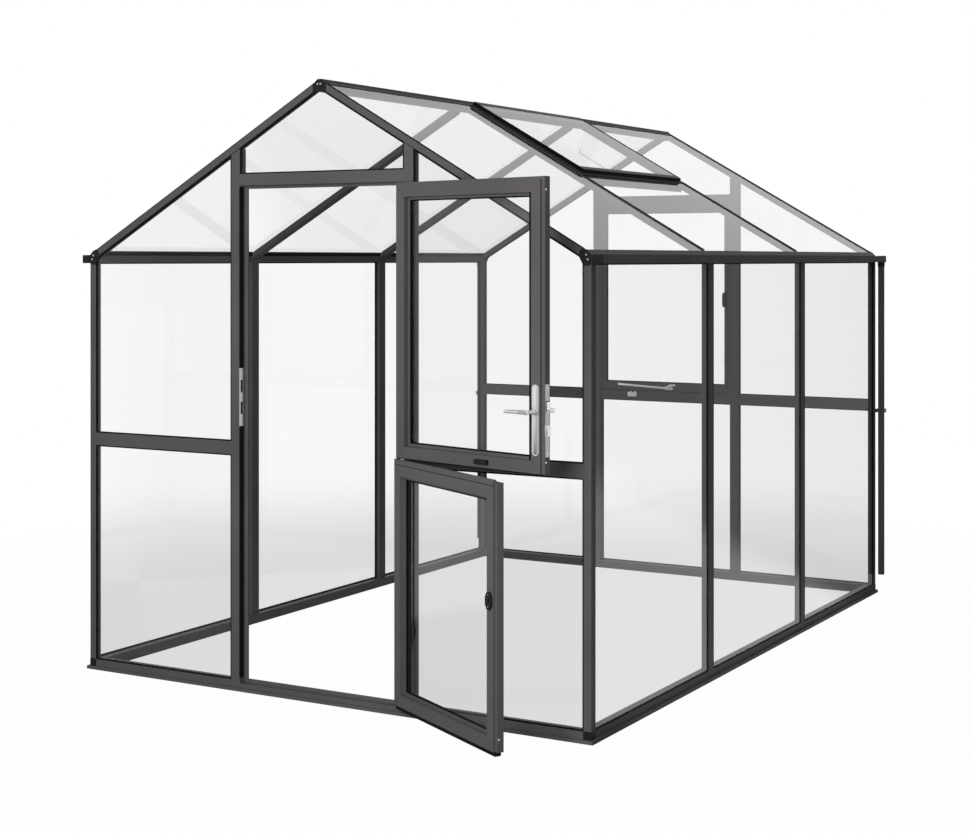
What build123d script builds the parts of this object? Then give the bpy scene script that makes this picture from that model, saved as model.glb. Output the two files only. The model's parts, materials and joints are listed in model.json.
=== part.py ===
"""Gable-roofed garden greenhouse: an aluminium frame glazed with 4 mm glass, and a two-part door.

Millimetres. The origin is on the ground at the centre of the base frame, +Z is up,
the door gable faces -Y and the ridge runs along Y. The two door leaves stand open,
which is the pose that the joints count from.
"""

import os
from math import cos, radians, sin, tan

from build123d import *

# ---- Overall size -------------------------------------------------------------------------
WIDTH = 2250.0           # across the gables, over the outer faces of the corner posts
LENGTH = 3160.0          # along the ridge, over the outer faces of the corner posts
BAYS = 3                 # glazed bays along each side
EAVE_HEIGHT = 1634.5     # underside of the eave beams
ROOF_RISE = 35.0         # eave beam's underside to the roof plane, at the outer face of the wall
ROOF_PITCH = 30.0        # degrees

# ---- Frame profiles -----------------------------------------------------------------------
POST = 29.0              # corner posts and gable rafters: face width and depth
BAR_WIDTH = 50.0         # side posts and roof bars: face width
RAFTER_DEPTH = 29.0      # roof bars and gable rafters, square to the roof
BASE_HEIGHT = 40.0
BASE_DEPTH = 45.0
BASE_FLANGE = 10.0       # foot of the base rail, outside the posts
FLANGE_HEIGHT = 13.0
EAVE_TOP = 48.0          # height of the eave beam
EAVE_SHOULDER = 31.0     # height of its outer face, below the sloping shoulder
EAVE_LIP = 17.0          # lip that the roof glass stands against
RIDGE_HALF = 32.0        # half width of the ridge beam
RIDGE_DEPTH = 44.0       # ridge line to the underside of the beam
RIDGE_CAP_TOP = 10.0     # half width of the flat top of the ridge cap
RIDGE_CAP_FOOT = 24.5    # half width of the cap where it meets the roof

# ---- Glazing ------------------------------------------------------------------------------
GLASS = 4.0
FACE_LIP = 3.0           # frame in front of the glass
BITE = 6.0               # glass held in the frame, on each edge
EDGE_ROOM = 1.0          # play behind the edge of the glass
ROOF_LAP = 14.0          # roof glass also lies this far over the bars and rafters
SEAT = FACE_LIP + GLASS  # outer face of the frame to the back of the glass

# ---- Gables -------------------------------------------------------------------------------
JAMB_INNER = 371.0       # centre line to the inner face of a door or window jamb
JAMB_WIDTH = 40.0
JAMB_DEPTH = 38.0
STOP_WIDTH = 15.0        # strips that the door and the sash close against
STOP_THICK = 6.0
MID_RAIL_Z = 902.0
MID_RAIL_HEIGHT = 50.0
DOOR_LINTEL_DROP = 389.0 # ridge line to the underside of the lintel over the door
DOOR_LINTEL_HEIGHT = 44.0
DOOR_STOP_DROP = 12.0
WINDOW_LINTEL_RISE = 9.0 # the window's lintel is this much higher than the door's
WINDOW_LINTEL_HEIGHT = 40.0
SILL_TREAD_Z = 28.0      # the base rail is cut down to this between the door jambs

# ---- Opening pane in the rear gable -------------------------------------------------------
SASH_WIDTH = 29.0        # stiles
SASH_RAIL = 42.0
SASH_THICK = 30.0
SASH_GAP = 3.0
SASH_SILL_GAP = 4.0

# ---- Roof vent, in the middle bay of the right slope --------------------------------------
VENT_LENGTH = 581.0      # down the slope
VENT_GAP = 4.0           # to the roof bars beside it
VENT_HEAD = 48.0         # ridge line to the head of the vent, down the slope
VENT_HOOK = 30.0         # ridge line to the edge of the lip along its head
VENT_MEMBER = 40.0
VENT_RIM = 9.0           # rim round the vent's pane, which lies on the members
VENT_FOOT_RIM = 27.0
VENT_SET = 1.0           # pane below the top of the rim
VENT_PROUD = 15.0        # above the roof plane
VENT_DEEP = 15.0         # below the roof plane
CROSSBAR_UNDER = 23.0    # part of the crossbar that lies under the vent
CROSSBAR_LIP = 8.0
CROSSBAR_SEAT = 16.0
CROSSBAR_DEPTH = 40.0

# ---- Door leaves --------------------------------------------------------------------------
PIN_FORWARD = 12.0       # hinge line in front of the frame
LEAF_SIDE_GAP = 5.5      # leaf to the jamb that carries it
LEAF_LOCK_GAP = 12.0     # leaf to the strike plate's jamb
LEAF_PIN_OFFSET = 6.0    # hinge line to the edge of the leaf
LEAF_BODY = 24.0         # rebated outer part of the leaf
LEAF_INNER = 7.0         # inner part, which is smaller all round
LEAF_BACK = 4.0          # hinge line to the outer face of the leaf
LOCK_REBATE = 15.0
HEAD_REBATE = 10.5
LEAF_MEMBER = 42.0
BEAD = 10.0              # glazing bead inside the leaf members
BEAD_DEPTH = 11.0
LEAF_HEAD_GAP = 16.0     # upper leaf's inner face to the lintel
UPPER_BOTTOM = 938.0
LOWER_BOTTOM = 50.0
LOWER_TOP = 915.0
LOWER_LIP_TOP = 933.0
LOWER_LIP_THICK = 12.0
LIP_SEAM = 2.5           # groove between the lip and the top rail
LIP_SEAM_DEPTH = 2.0
LOWER_BODY_RISE = 9.0
SEAL_DROP = 16.0
SEAL_THICK = 8.0
UPPER_ANGLE = 164.8      # degrees that the upper leaf stands open
LOWER_ANGLE = 149.6      # degrees that the lower leaf stands open

# ---- Door furniture -----------------------------------------------------------------------
HINGE_RADIUS = 6.5
HINGE_PIN = 3.0
KNUCKLE = 30.0
KNUCKLE_GAP = 0.5
HINGE_INSET = 110.0      # end of a leaf to its nearest hinge
HINGE_FLAP = 40.0
HINGE_FLAP_THICK = 4.0
PLATE_LENGTH = 236.0
PLATE_WIDTH = 31.0
PLATE_THICK = 3.0
PLATE_Z = 1116.0         # middle of the lock plates
PLATE_INSET = 20.0       # lock edge of the inner part to the middle of the plates
FACEPLATE_LENGTH = 242.0
FACEPLATE_Z = 1115.0
FACEPLATE_WIDTH = 20.0
FACEPLATE_THICK = 2.5
BOLT_REACH = 7.0
LATCH_Z = 1156.0
LATCH_BOLT = (14.0, 30.0)
DEADBOLT_Z = 1074.0
DEADBOLT = (18.0, 36.0)
LEVER_Z = 1144.0
LEVER_LENGTH = 100.0
LEVER_STANDOFF = 45.0
LEVER_RADIUS = 6.5
LEVER_HUB = 8.0
SPINDLE = 4.0            # half width of the square spindle
SPINDLE_HOLE = 6.5       # half width of the hole it turns in
STRIKE_LENGTH = 221.0
STRIKE_Z = 1122.0
STRIKE_WIDTH = 24.0
STRIKE_THICK = 2.5
STRIKE_SLOT = (12.0, 47.0)
SLOT_OFFSET = 41.5       # middle of the plate to the middle of a slot
CATCH_LENGTH = 58.0
CATCH_HEIGHT = 16.0
CATCH_THICK = 14.0
CATCH_RISE = 12.0        # above the bottom of the upper leaf
TURN_WIDTH = 38.0
TURN_HEIGHT = 60.0
TURN_THICK = 13.0
TURN_Z = 538.0

# ---- Rainwater goods ----------------------------------------------------------------------
GUTTER_WIDTH = 41.0
GUTTER_HEIGHT = 30.0
GUTTER_WALL = 2.0
GUTTER_OVERRUN = 42.0    # past the rear corner
PIPE_RADIUS = 15.5
PIPE_WALL = 2.0
PIPE_SIDE_ROOM = 3.0     # pipe to the gutter's outer face
PIPE_FROM_END = 20.0     # gutter's rear end to the middle of the pipe
PIPE_END_Z = 88.0
CLIP_Z = 900.0
CLIP_HEIGHT = 18.0
CLIP_WALL = 3.0
CLIP_LUG = 10.0          # reach past the pipe
CLIP_STRAP = 6.0         # strap from the corner post to the ring

# ---- Small fittings -----------------------------------------------------------------------
END_PLATE = 3.0
END_PLATE_DROP = 7.0     # below the eave beam
END_PLATE_REACH = 20.0   # along the rafter, past the eave beam
APEX_PLATE_DROP = 47.0   # below the ridge line
WINDOW_STAY = 282.0
VENT_STAY = 282.0
STAY_WIDTH = 10.0
STAY_THICK = 5.0
STAY_HOLES = 5
STAY_PEG = 18.0          # the arm stands this far off its sash
STAY_SILL = 17.0         # bottom of the sash to the pivot of its stay
WINDOW_STAY_X = 19.0     # its pivot
WINDOW_PEG_X = -203.0
PEG_LENGTH = 52.0
PEG_HEIGHT = 30.0
VENT_STAY_Y = 20.0
HANDLE_LENGTH = 64.0
HANDLE_WIDTH = 16.0
HANDLE_THICK = 20.0
HANDLE_Z = 1439.0

# ---- Places worked out from the sizes -----------------------------------------------------
HALF_W = WIDTH / 2
HALF_L = LENGTH / 2
BAY = LENGTH / BAYS
BAR_YS = [-HALF_L + BAY * i for i in range(1, BAYS)]
POST_X = HALF_W - POST            # inner face of the posts and eave beams
POST_Y = HALF_L - POST
COS = cos(radians(ROOF_PITCH))
SIN = sin(radians(ROOF_PITCH))
TAN = tan(radians(ROOF_PITCH))
RIDGE_HEIGHT = EAVE_HEIGHT + ROOF_RISE + TAN * HALF_W     # where the two roof planes meet
RAFTER_DROP = RAFTER_DEPTH / COS
DOOR_LINTEL_Z = RIDGE_HEIGHT - DOOR_LINTEL_DROP
WINDOW_LINTEL_Z = DOOR_LINTEL_Z + WINDOW_LINTEL_RISE
UPPER_TOP = DOOR_LINTEL_Z - LEAF_HEAD_GAP
JAMB_OUTER = JAMB_INNER + JAMB_WIDTH
MID_TOP = MID_RAIL_Z + MID_RAIL_HEIGHT
STOP_Y = HALF_L - JAMB_DEPTH + STOP_THICK   # face that the door and the sash meet
DOOR_HEAD = DOOR_LINTEL_Z + DOOR_LINTEL_HEIGHT
WINDOW_HEAD = WINDOW_LINTEL_Z + WINDOW_LINTEL_HEIGHT
RIDGE_SLOPE = RIDGE_HALF / COS              # ridge line to the roof openings, down the slope
EAVE_SLOPE = POST_X / COS
VENT_FOOT = VENT_HEAD + VENT_LENGTH
PANE_HEAD = VENT_FOOT + VENT_GAP + CROSSBAR_LIP
PIPE_X = HALF_W + GUTTER_WIDTH - PIPE_SIDE_ROOM - PIPE_RADIUS
PIPE_Y = HALF_L + GUTTER_OVERRUN - PIPE_FROM_END

HINGE_X = JAMB_INNER - LEAF_SIDE_GAP + LEAF_PIN_OFFSET
HINGE_Y = -HALF_L - PIN_FORWARD
LEAF_EDGE = HINGE_X + JAMB_INNER - LEAF_LOCK_GAP     # hinge line to the lock edge of the body
INNER_EDGE = LEAF_EDGE - LOCK_REBATE
BODY_IN = -LEAF_BACK - LEAF_BODY                     # inside of the rebated body
FACE_IN = BODY_IN - LEAF_INNER                       # inner face of the leaf
PLATE_X = INNER_EDGE - PLATE_INSET
FACEPLATE_Y = BODY_IN + FACEPLATE_WIDTH / 2


def roof_z(x):
    """Height of the roof plane at a distance from the ridge."""
    return RIDGE_HEIGHT - TAN * abs(x)


def slope_point(down, out):
    """X and Z of a point down the right slope, out from the roof plane."""
    return (down * COS + out * SIN, RIDGE_HEIGHT - down * SIN + out * COS)


def block(x, y, z, mode=Mode.ADD):
    """Box between two values on each axis, in the current workplane."""
    with Locations((sum(x) / 2, sum(y) / 2, sum(z) / 2)):
        Box(abs(x[1] - x[0]), abs(y[1] - y[0]), abs(z[1] - z[0]), mode=mode)


def prism_along_y(points, y_low, y_high, mode=Mode.ADD):
    """Profile of X and Z points, extruded along Y."""
    with BuildSketch(Plane.XZ.offset(-y_high)) as profile:
        Polygon(*points, align=None)
    extrude(profile.sketch, amount=y_high - y_low, mode=mode)


def glaze(openings, reach, depth=GLASS, mode=Mode.ADD):
    """Glass for each clear opening, reaching into the frame around it."""
    for plane, points in openings:
        with BuildSketch(plane) as pane:
            Polygon(*points, align=None)
            offset(amount=reach, kind=Kind.INTERSECTION)
        extrude(pane.sketch, amount=depth, mode=mode)


def cut_grooves(openings):
    """Glazing grooves in the piece being built, wherever glass reaches into it."""
    glaze(openings, BITE + EDGE_ROOM, mode=Mode.SUBTRACT)


def cut_rebates(openings):
    """Open rebates for the roof glass, which leave a narrow cap between two panes."""
    glaze(openings, BITE + EDGE_ROOM, depth=SEAT, mode=Mode.SUBTRACT)


def save(piece, name):
    """Label a finished piece and write its STEP file."""
    piece.part.label = name
    export_step(piece.part, f"parts/{name}.step")


os.makedirs("parts", exist_ok=True)

# ---- Clear openings of the glazing --------------------------------------------------------
FRONT_GLASS = Plane.XZ.offset(HALF_L - SEAT)
REAR_GLASS = Plane.XZ.offset(-HALF_L + FACE_LIP)
RIGHT_GLASS = Plane.YZ.offset(HALF_W - SEAT)
LEFT_GLASS = Plane.YZ.offset(-HALF_W + FACE_LIP)
ROOF_RIGHT = Plane(origin=(0, 0, RIDGE_HEIGHT), x_dir=(0, 1, 0), z_dir=(SIN, 0, COS))
ROOF_LEFT = Plane(origin=(0, 0, RIDGE_HEIGHT), x_dir=(0, -1, 0), z_dir=(-SIN, 0, COS))


def rectangle(a, b):
    """Corners of a rectangle between two values on each axis."""
    return [(a[0], b[0]), (a[1], b[0]), (a[1], b[1]), (a[0], b[1])]


def under_rafter(x):
    """Underside of the gable rafters."""
    return roof_z(x) - RAFTER_DROP


def gable_panels(plane, head):
    """Side panels, below and above the mid rail, and the panel over the lintel."""
    panels = []
    for side in (-1, 1):
        span = (side * JAMB_OUTER, side * POST_X)
        panels.append((plane, rectangle(span, (BASE_HEIGHT, MID_RAIL_Z))))
        panels.append((plane, [
            (span[0], MID_TOP),
            (span[1], MID_TOP),
            (span[1], under_rafter(POST_X)),
            (span[0], under_rafter(JAMB_OUTER)),
        ]))
    panels.append((plane, [
        (-JAMB_INNER, head),
        (JAMB_INNER, head),
        (JAMB_INNER, under_rafter(JAMB_INNER)),
        (0, under_rafter(0)),
        (-JAMB_INNER, under_rafter(JAMB_INNER)),
    ]))
    return panels


BAY_SPANS = []
for bay in range(BAYS):
    low = POST_Y * -1 if bay == 0 else BAR_YS[bay - 1] + BAR_WIDTH / 2
    high = POST_Y if bay == BAYS - 1 else BAR_YS[bay] - BAR_WIDTH / 2
    BAY_SPANS.append((low, high))
VENT_SPAN = BAY_SPANS[BAYS // 2]

front_openings = gable_panels(FRONT_GLASS, DOOR_HEAD)
rear_openings = gable_panels(REAR_GLASS, WINDOW_HEAD)
rear_openings.append((REAR_GLASS, rectangle((-JAMB_INNER, JAMB_INNER), (BASE_HEIGHT, MID_RAIL_Z))))
side_openings = [
    (plane, rectangle(span, (BASE_HEIGHT, EAVE_HEIGHT)))
    for plane in (LEFT_GLASS, RIGHT_GLASS)
    for span in BAY_SPANS
]
left_roof_openings = [
    (
        ROOF_LEFT.offset(-SEAT),
        rectangle((-span[1] - ROOF_LAP, -span[0] + ROOF_LAP), (-EAVE_SLOPE, -RIDGE_SLOPE)),
    )
    for span in BAY_SPANS
]
right_roof_openings = [
    (
        ROOF_RIGHT.offset(-SEAT),
        rectangle(
            (span[0] - ROOF_LAP, span[1] + ROOF_LAP),
            (-EAVE_SLOPE, -PANE_HEAD - BITE if span == VENT_SPAN else -RIDGE_SLOPE),
        ),
    )
    for span in BAY_SPANS
]
roof_openings = left_roof_openings + right_roof_openings

# ---- Base frame ---------------------------------------------------------------------------
with BuildPart() as base_rails_gable:
    block((-HALF_W, HALF_W), (-HALF_L, -HALF_L + BASE_DEPTH), (0, BASE_HEIGHT))
    block(
        (-HALF_W - BASE_FLANGE, HALF_W + BASE_FLANGE),
        (-HALF_L - BASE_FLANGE, -HALF_L + BASE_DEPTH),
        (0, FLANGE_HEIGHT),
    )
    mirror(about=Plane.XZ)
    block(
        (-JAMB_INNER, JAMB_INNER),
        (-HALF_L - BASE_FLANGE, -STOP_Y),
        (SILL_TREAD_Z, BASE_HEIGHT),
        mode=Mode.SUBTRACT,
    )
    cut_grooves(front_openings + rear_openings + side_openings)
save(base_rails_gable, "base_rails_gable")

with BuildPart() as base_rails_side:
    run = (-HALF_L + BASE_DEPTH, HALF_L - BASE_DEPTH)
    block((HALF_W - BASE_DEPTH, HALF_W), run, (0, BASE_HEIGHT))
    block((HALF_W - BASE_DEPTH, HALF_W + BASE_FLANGE), run, (0, FLANGE_HEIGHT))
    mirror(about=Plane.YZ)
    cut_grooves(side_openings)
save(base_rails_side, "base_rails_side")

# ---- Posts, eaves and ridge ---------------------------------------------------------------
with BuildPart() as corner_posts:
    block((POST_X, HALF_W), (POST_Y, HALF_L), (BASE_HEIGHT, EAVE_HEIGHT))
    mirror(about=Plane.YZ)
    mirror(about=Plane.XZ)
    cut_grooves(front_openings + rear_openings + side_openings)
save(corner_posts, "corner_posts")

with BuildPart() as side_posts:
    for y in BAR_YS:
        block(
            (POST_X, HALF_W),
            (y - BAR_WIDTH / 2, y + BAR_WIDTH / 2),
            (BASE_HEIGHT, EAVE_HEIGHT),
        )
    mirror(about=Plane.YZ)
    cut_grooves(side_openings)
save(side_posts, "side_posts")

with BuildPart() as eave_beams:
    lip_x = HALF_W - EAVE_LIP
    seat_drop = SEAT / COS
    prism_along_y(
        [
            (POST_X, EAVE_HEIGHT),
            (HALF_W, EAVE_HEIGHT),
            (HALF_W, EAVE_HEIGHT + EAVE_SHOULDER),
            (lip_x, EAVE_HEIGHT + EAVE_TOP),
            (lip_x, roof_z(lip_x) - seat_drop),
            (POST_X, roof_z(POST_X) - seat_drop),
        ],
        -HALF_L,
        HALF_L,
    )
    mirror(about=Plane.YZ)
    cut_grooves(front_openings + rear_openings + side_openings)
save(eave_beams, "eave_beams")

with BuildPart() as ridge_beam:
    prism_along_y(
        [
            (0, RIDGE_HEIGHT),
            (RIDGE_HALF, roof_z(RIDGE_HALF)),
            (RIDGE_HALF, RIDGE_HEIGHT - RIDGE_DEPTH),
            (-RIDGE_HALF, RIDGE_HEIGHT - RIDGE_DEPTH),
            (-RIDGE_HALF, roof_z(RIDGE_HALF)),
        ],
        -POST_Y,
        POST_Y,
    )
    cut_grooves(roof_openings)
save(ridge_beam, "ridge_beam")

with BuildPart() as ridge_cap:
    prism_along_y(
        [
            (0, RIDGE_HEIGHT),
            (RIDGE_CAP_TOP, RIDGE_HEIGHT),
            (RIDGE_CAP_FOOT, roof_z(RIDGE_CAP_FOOT)),
        ],
        -HALF_L,
        HALF_L,
    )
    mirror(about=Plane.YZ)
save(ridge_cap, "ridge_cap")


def slope_bar(from_x, to_x, y_low, y_high):
    """Straight bar under the right roof plane."""
    prism_along_y(
        [
            (from_x, roof_z(from_x)),
            (to_x, roof_z(to_x)),
            (to_x, under_rafter(to_x)),
            (from_x, under_rafter(from_x)),
        ],
        y_low,
        y_high,
    )


with BuildPart() as gable_rafters_right:
    slope_bar(0, POST_X, POST_Y, HALF_L)
    mirror(about=Plane.XZ)
    cut_grooves(front_openings + rear_openings)
    cut_rebates(roof_openings)
save(gable_rafters_right, "gable_rafters_right")

with BuildPart() as gable_rafters_left:
    slope_bar(0, POST_X, POST_Y, HALF_L)
    mirror(about=Plane.XZ)
    mirror(about=Plane.YZ, mode=Mode.REPLACE)
    cut_grooves(front_openings + rear_openings)
    cut_rebates(roof_openings)
save(gable_rafters_left, "gable_rafters_left")

with BuildPart() as roof_bars:
    for y in BAR_YS:
        slope_bar(RIDGE_HALF, POST_X, y - BAR_WIDTH / 2, y + BAR_WIDTH / 2)
    mirror(about=Plane.YZ)
    cut_rebates(roof_openings)
save(roof_bars, "roof_bars")

# ---- Gable members ------------------------------------------------------------------------


def jamb_pair(y_low, y_high):
    """Two jambs from the base rail to the rafters, cut to the roof pitch."""
    prism_along_y(
        [
            (JAMB_INNER, BASE_HEIGHT),
            (JAMB_OUTER, BASE_HEIGHT),
            (JAMB_OUTER, under_rafter(JAMB_OUTER)),
            (JAMB_INNER, under_rafter(JAMB_INNER)),
        ],
        y_low,
        y_high,
    )
    mirror(about=Plane.YZ)


with BuildPart() as door_jambs:
    jamb_pair(-HALF_L, -HALF_L + JAMB_DEPTH)
    cut_grooves(front_openings)
    strike_y = (-HALF_L, -HALF_L + STRIKE_WIDTH)
    block(
        (-JAMB_INNER - STRIKE_THICK, -JAMB_INNER),
        strike_y,
        (STRIKE_Z - STRIKE_LENGTH / 2, STRIKE_Z + STRIKE_LENGTH / 2),
        mode=Mode.SUBTRACT,
    )
save(door_jambs, "door_jambs")

with BuildPart() as window_jambs:
    jamb_pair(HALF_L - JAMB_DEPTH, HALF_L)
    cut_grooves(rear_openings)
save(window_jambs, "window_jambs")

with BuildPart() as gable_lintels:
    block(
        (-JAMB_INNER, JAMB_INNER),
        (-HALF_L, -HALF_L + JAMB_DEPTH),
        (DOOR_LINTEL_Z, DOOR_HEAD),
    )
    block(
        (-JAMB_INNER, JAMB_INNER),
        (HALF_L - JAMB_DEPTH, HALF_L),
        (WINDOW_LINTEL_Z, WINDOW_HEAD),
    )
    cut_grooves(front_openings + rear_openings)
save(gable_lintels, "gable_lintels")

with BuildPart() as mid_rails:
    for side in (-1, 1):
        for y in ((-HALF_L, -POST_Y), (POST_Y, HALF_L)):
            block((side * JAMB_OUTER, side * POST_X), y, (MID_RAIL_Z, MID_TOP))
    block((-JAMB_INNER, JAMB_INNER), (POST_Y, HALF_L), (MID_RAIL_Z, MID_TOP))
    cut_grooves(front_openings + rear_openings)
save(mid_rails, "mid_rails")

with BuildPart() as door_stops:
    stop_y = (-STOP_Y, -STOP_Y + STOP_THICK)
    for side in (-1, 1):
        block(
            (side * (JAMB_INNER - STOP_WIDTH), side * JAMB_INNER),
            stop_y,
            (BASE_HEIGHT, DOOR_LINTEL_Z),
        )
    head_span = JAMB_INNER - STOP_WIDTH - EDGE_ROOM
    block((-head_span, head_span), stop_y, (DOOR_LINTEL_Z - DOOR_STOP_DROP, DOOR_LINTEL_Z))
save(door_stops, "door_stops")

with BuildPart() as window_stops:
    stop_y = (STOP_Y - STOP_THICK, STOP_Y)
    for side in (-1, 1):
        block(
            (side * (JAMB_INNER - STOP_WIDTH), side * JAMB_INNER),
            stop_y,
            (MID_TOP, WINDOW_LINTEL_Z),
        )
    block((-head_span, head_span), stop_y, (WINDOW_LINTEL_Z - DOOR_STOP_DROP, WINDOW_LINTEL_Z))
save(window_stops, "window_stops")

# ---- Glass --------------------------------------------------------------------------------
with BuildPart() as front_glass:
    glaze(front_openings, BITE)
save(front_glass, "front_glass")

with BuildPart() as rear_glass:
    glaze(rear_openings, BITE)
save(rear_glass, "rear_glass")

with BuildPart() as side_glass:
    glaze(side_openings, BITE)
save(side_glass, "side_glass")

with BuildPart() as roof_glass:
    glaze(roof_openings, BITE)
save(roof_glass, "roof_glass")

# ---- Rear window --------------------------------------------------------------------------
sash_x = JAMB_INNER - SASH_GAP
sash_z = (MID_TOP + SASH_SILL_GAP, WINDOW_LINTEL_Z - SASH_GAP)
sash_opening = rectangle(
    (-sash_x + SASH_WIDTH, sash_x - SASH_WIDTH),
    (sash_z[0] + SASH_RAIL, sash_z[1] - SASH_RAIL),
)
sash_pane = [(Plane.XZ.offset(-STOP_Y - SASH_THICK + SASH_THICK / 2 - GLASS / 2), sash_opening)]

with BuildPart() as window_sash:
    block((-sash_x, sash_x), (STOP_Y, STOP_Y + SASH_THICK), sash_z)
    block(
        (-sash_x + SASH_WIDTH, sash_x - SASH_WIDTH),
        (STOP_Y, STOP_Y + SASH_THICK),
        (sash_z[0] + SASH_RAIL, sash_z[1] - SASH_RAIL),
        mode=Mode.SUBTRACT,
    )
    cut_grooves(sash_pane)
save(window_sash, "window_sash")

with BuildPart() as window_glass:
    glaze(sash_pane, BITE)
save(window_glass, "window_glass")

with BuildPart() as window_handle:
    handle_x = sash_x - STOP_WIDTH - HANDLE_WIDTH / 2 - SASH_GAP
    with Locations((handle_x, STOP_Y - HANDLE_THICK / 2, HANDLE_Z)):
        Box(HANDLE_WIDTH, HANDLE_THICK, HANDLE_LENGTH)
    fillet(window_handle.edges().filter_by(Axis.X), HANDLE_THICK * 0.3)
save(window_handle, "window_handle")


def stay(plane, length):
    """Perforated stay: an arm on a pivot, which stands on the sash at the plane's origin."""
    with BuildSketch(plane) as pivot:
        Circle(STAY_WIDTH / 2)
    extrude(pivot.sketch, amount=STAY_PEG)
    with BuildSketch(plane.offset(STAY_PEG)) as arm:
        with Locations((-(length - STAY_WIDTH) / 2, 0)):
            SlotOverall(length, STAY_WIDTH)
        with Locations((-length / 2, 0)):
            with GridLocations(length / (STAY_HOLES + 1), 0, STAY_HOLES, 1):
                Circle(STAY_WIDTH / 4, mode=Mode.SUBTRACT)
    extrude(arm.sketch, amount=STAY_THICK)


with BuildPart() as window_stay:
    stay_z = sash_z[0] + STAY_SILL
    stay(Plane(origin=(WINDOW_STAY_X, STOP_Y, stay_z), x_dir=(1, 0, 0), z_dir=(0, -1, 0)), WINDOW_STAY)
save(window_stay, "window_stay")

with BuildPart() as stay_peg:
    block(
        (WINDOW_PEG_X, WINDOW_PEG_X + PEG_LENGTH),
        (STOP_Y - STAY_PEG - STAY_THICK, POST_Y),
        (MID_TOP - PEG_HEIGHT, MID_TOP),
    )
save(stay_peg, "stay_peg")

# ---- Roof vent ----------------------------------------------------------------------------
vent_y = (VENT_SPAN[0] + VENT_GAP, VENT_SPAN[1] - VENT_GAP)
vent_clear = (vent_y[0] + VENT_MEMBER, vent_y[1] - VENT_MEMBER)
vent_opening = rectangle(vent_clear, (-VENT_FOOT + VENT_MEMBER, -VENT_HEAD - VENT_MEMBER))
vent_pocket = rectangle(
    (vent_y[0] + VENT_RIM, vent_y[1] - VENT_RIM),
    (-VENT_FOOT + VENT_FOOT_RIM, -VENT_HEAD - VENT_RIM),
)
VENT_SEAT = ROOF_RIGHT.offset(VENT_PROUD - VENT_SET - GLASS)

with BuildPart() as roof_vent_frame:
    with BuildSketch(ROOF_RIGHT.offset(-VENT_DEEP)) as vent_ring:
        Polygon(*rectangle(vent_y, (-VENT_FOOT, -VENT_HEAD)), align=None)
        Polygon(*vent_opening, align=None, mode=Mode.SUBTRACT)
    extrude(amount=VENT_DEEP + VENT_PROUD)
    with BuildSketch(ROOF_RIGHT):
        Polygon(*rectangle(vent_y, (-VENT_HEAD, -VENT_HOOK)), align=None)
    extrude(amount=VENT_PROUD)
    glaze([(VENT_SEAT, vent_pocket)], 0, depth=GLASS + VENT_SET, mode=Mode.SUBTRACT)
save(roof_vent_frame, "roof_vent_frame")

with BuildPart() as roof_vent_glass:
    glaze([(VENT_SEAT, vent_pocket)], -EDGE_ROOM)
save(roof_vent_glass, "roof_vent_glass")

with BuildPart() as vent_crossbar:
    lip_start = VENT_FOOT + VENT_GAP
    prism_along_y(
        [
            slope_point(VENT_FOOT - CROSSBAR_UNDER, -VENT_DEEP),
            slope_point(lip_start, -VENT_DEEP),
            slope_point(lip_start, 0),
            slope_point(PANE_HEAD, 0),
            slope_point(PANE_HEAD, -SEAT),
            slope_point(PANE_HEAD + CROSSBAR_SEAT, -SEAT),
            slope_point(PANE_HEAD + CROSSBAR_SEAT, -CROSSBAR_DEPTH),
            slope_point(VENT_FOOT - CROSSBAR_UNDER, -CROSSBAR_DEPTH),
        ],
        *VENT_SPAN,
    )
save(vent_crossbar, "vent_crossbar")

with BuildPart() as vent_stay:
    foot = slope_point(VENT_FOOT - VENT_MEMBER + STAY_WIDTH, -VENT_DEEP)
    stay(
        Plane(
            origin=(foot[0], VENT_STAY_Y, foot[1]),
            x_dir=(COS, 0, -SIN),
            z_dir=(-SIN, 0, -COS),
        ),
        VENT_STAY,
    )
save(vent_stay, "vent_stay")

# ---- Rainwater goods ----------------------------------------------------------------------
with BuildPart() as gutters:
    gutter_y = (-HALF_L, HALF_L + GUTTER_OVERRUN)
    gutter_z = (EAVE_HEIGHT, EAVE_HEIGHT + GUTTER_HEIGHT)
    block((HALF_W, HALF_W + GUTTER_WIDTH), gutter_y, gutter_z)
    block(
        (HALF_W + GUTTER_WALL, HALF_W + GUTTER_WIDTH - GUTTER_WALL),
        (gutter_y[0] + GUTTER_WALL, gutter_y[1] - GUTTER_WALL),
        (gutter_z[0] + GUTTER_WALL, gutter_z[1]),
        mode=Mode.SUBTRACT,
    )
    with Locations((PIPE_X, PIPE_Y, EAVE_HEIGHT)):
        Cylinder(PIPE_RADIUS - PIPE_WALL, 3 * GUTTER_WALL, mode=Mode.SUBTRACT)
    mirror(about=Plane.YZ)
save(gutters, "gutters")

with BuildPart() as downpipes:
    with BuildSketch(Plane.XY.offset(PIPE_END_Z)):
        with Locations((PIPE_X, PIPE_Y)):
            Circle(PIPE_RADIUS)
            Circle(PIPE_RADIUS - PIPE_WALL, mode=Mode.SUBTRACT)
    extrude(amount=EAVE_HEIGHT - PIPE_END_Z)
    mirror(about=Plane.YZ)
save(downpipes, "downpipes")

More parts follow.
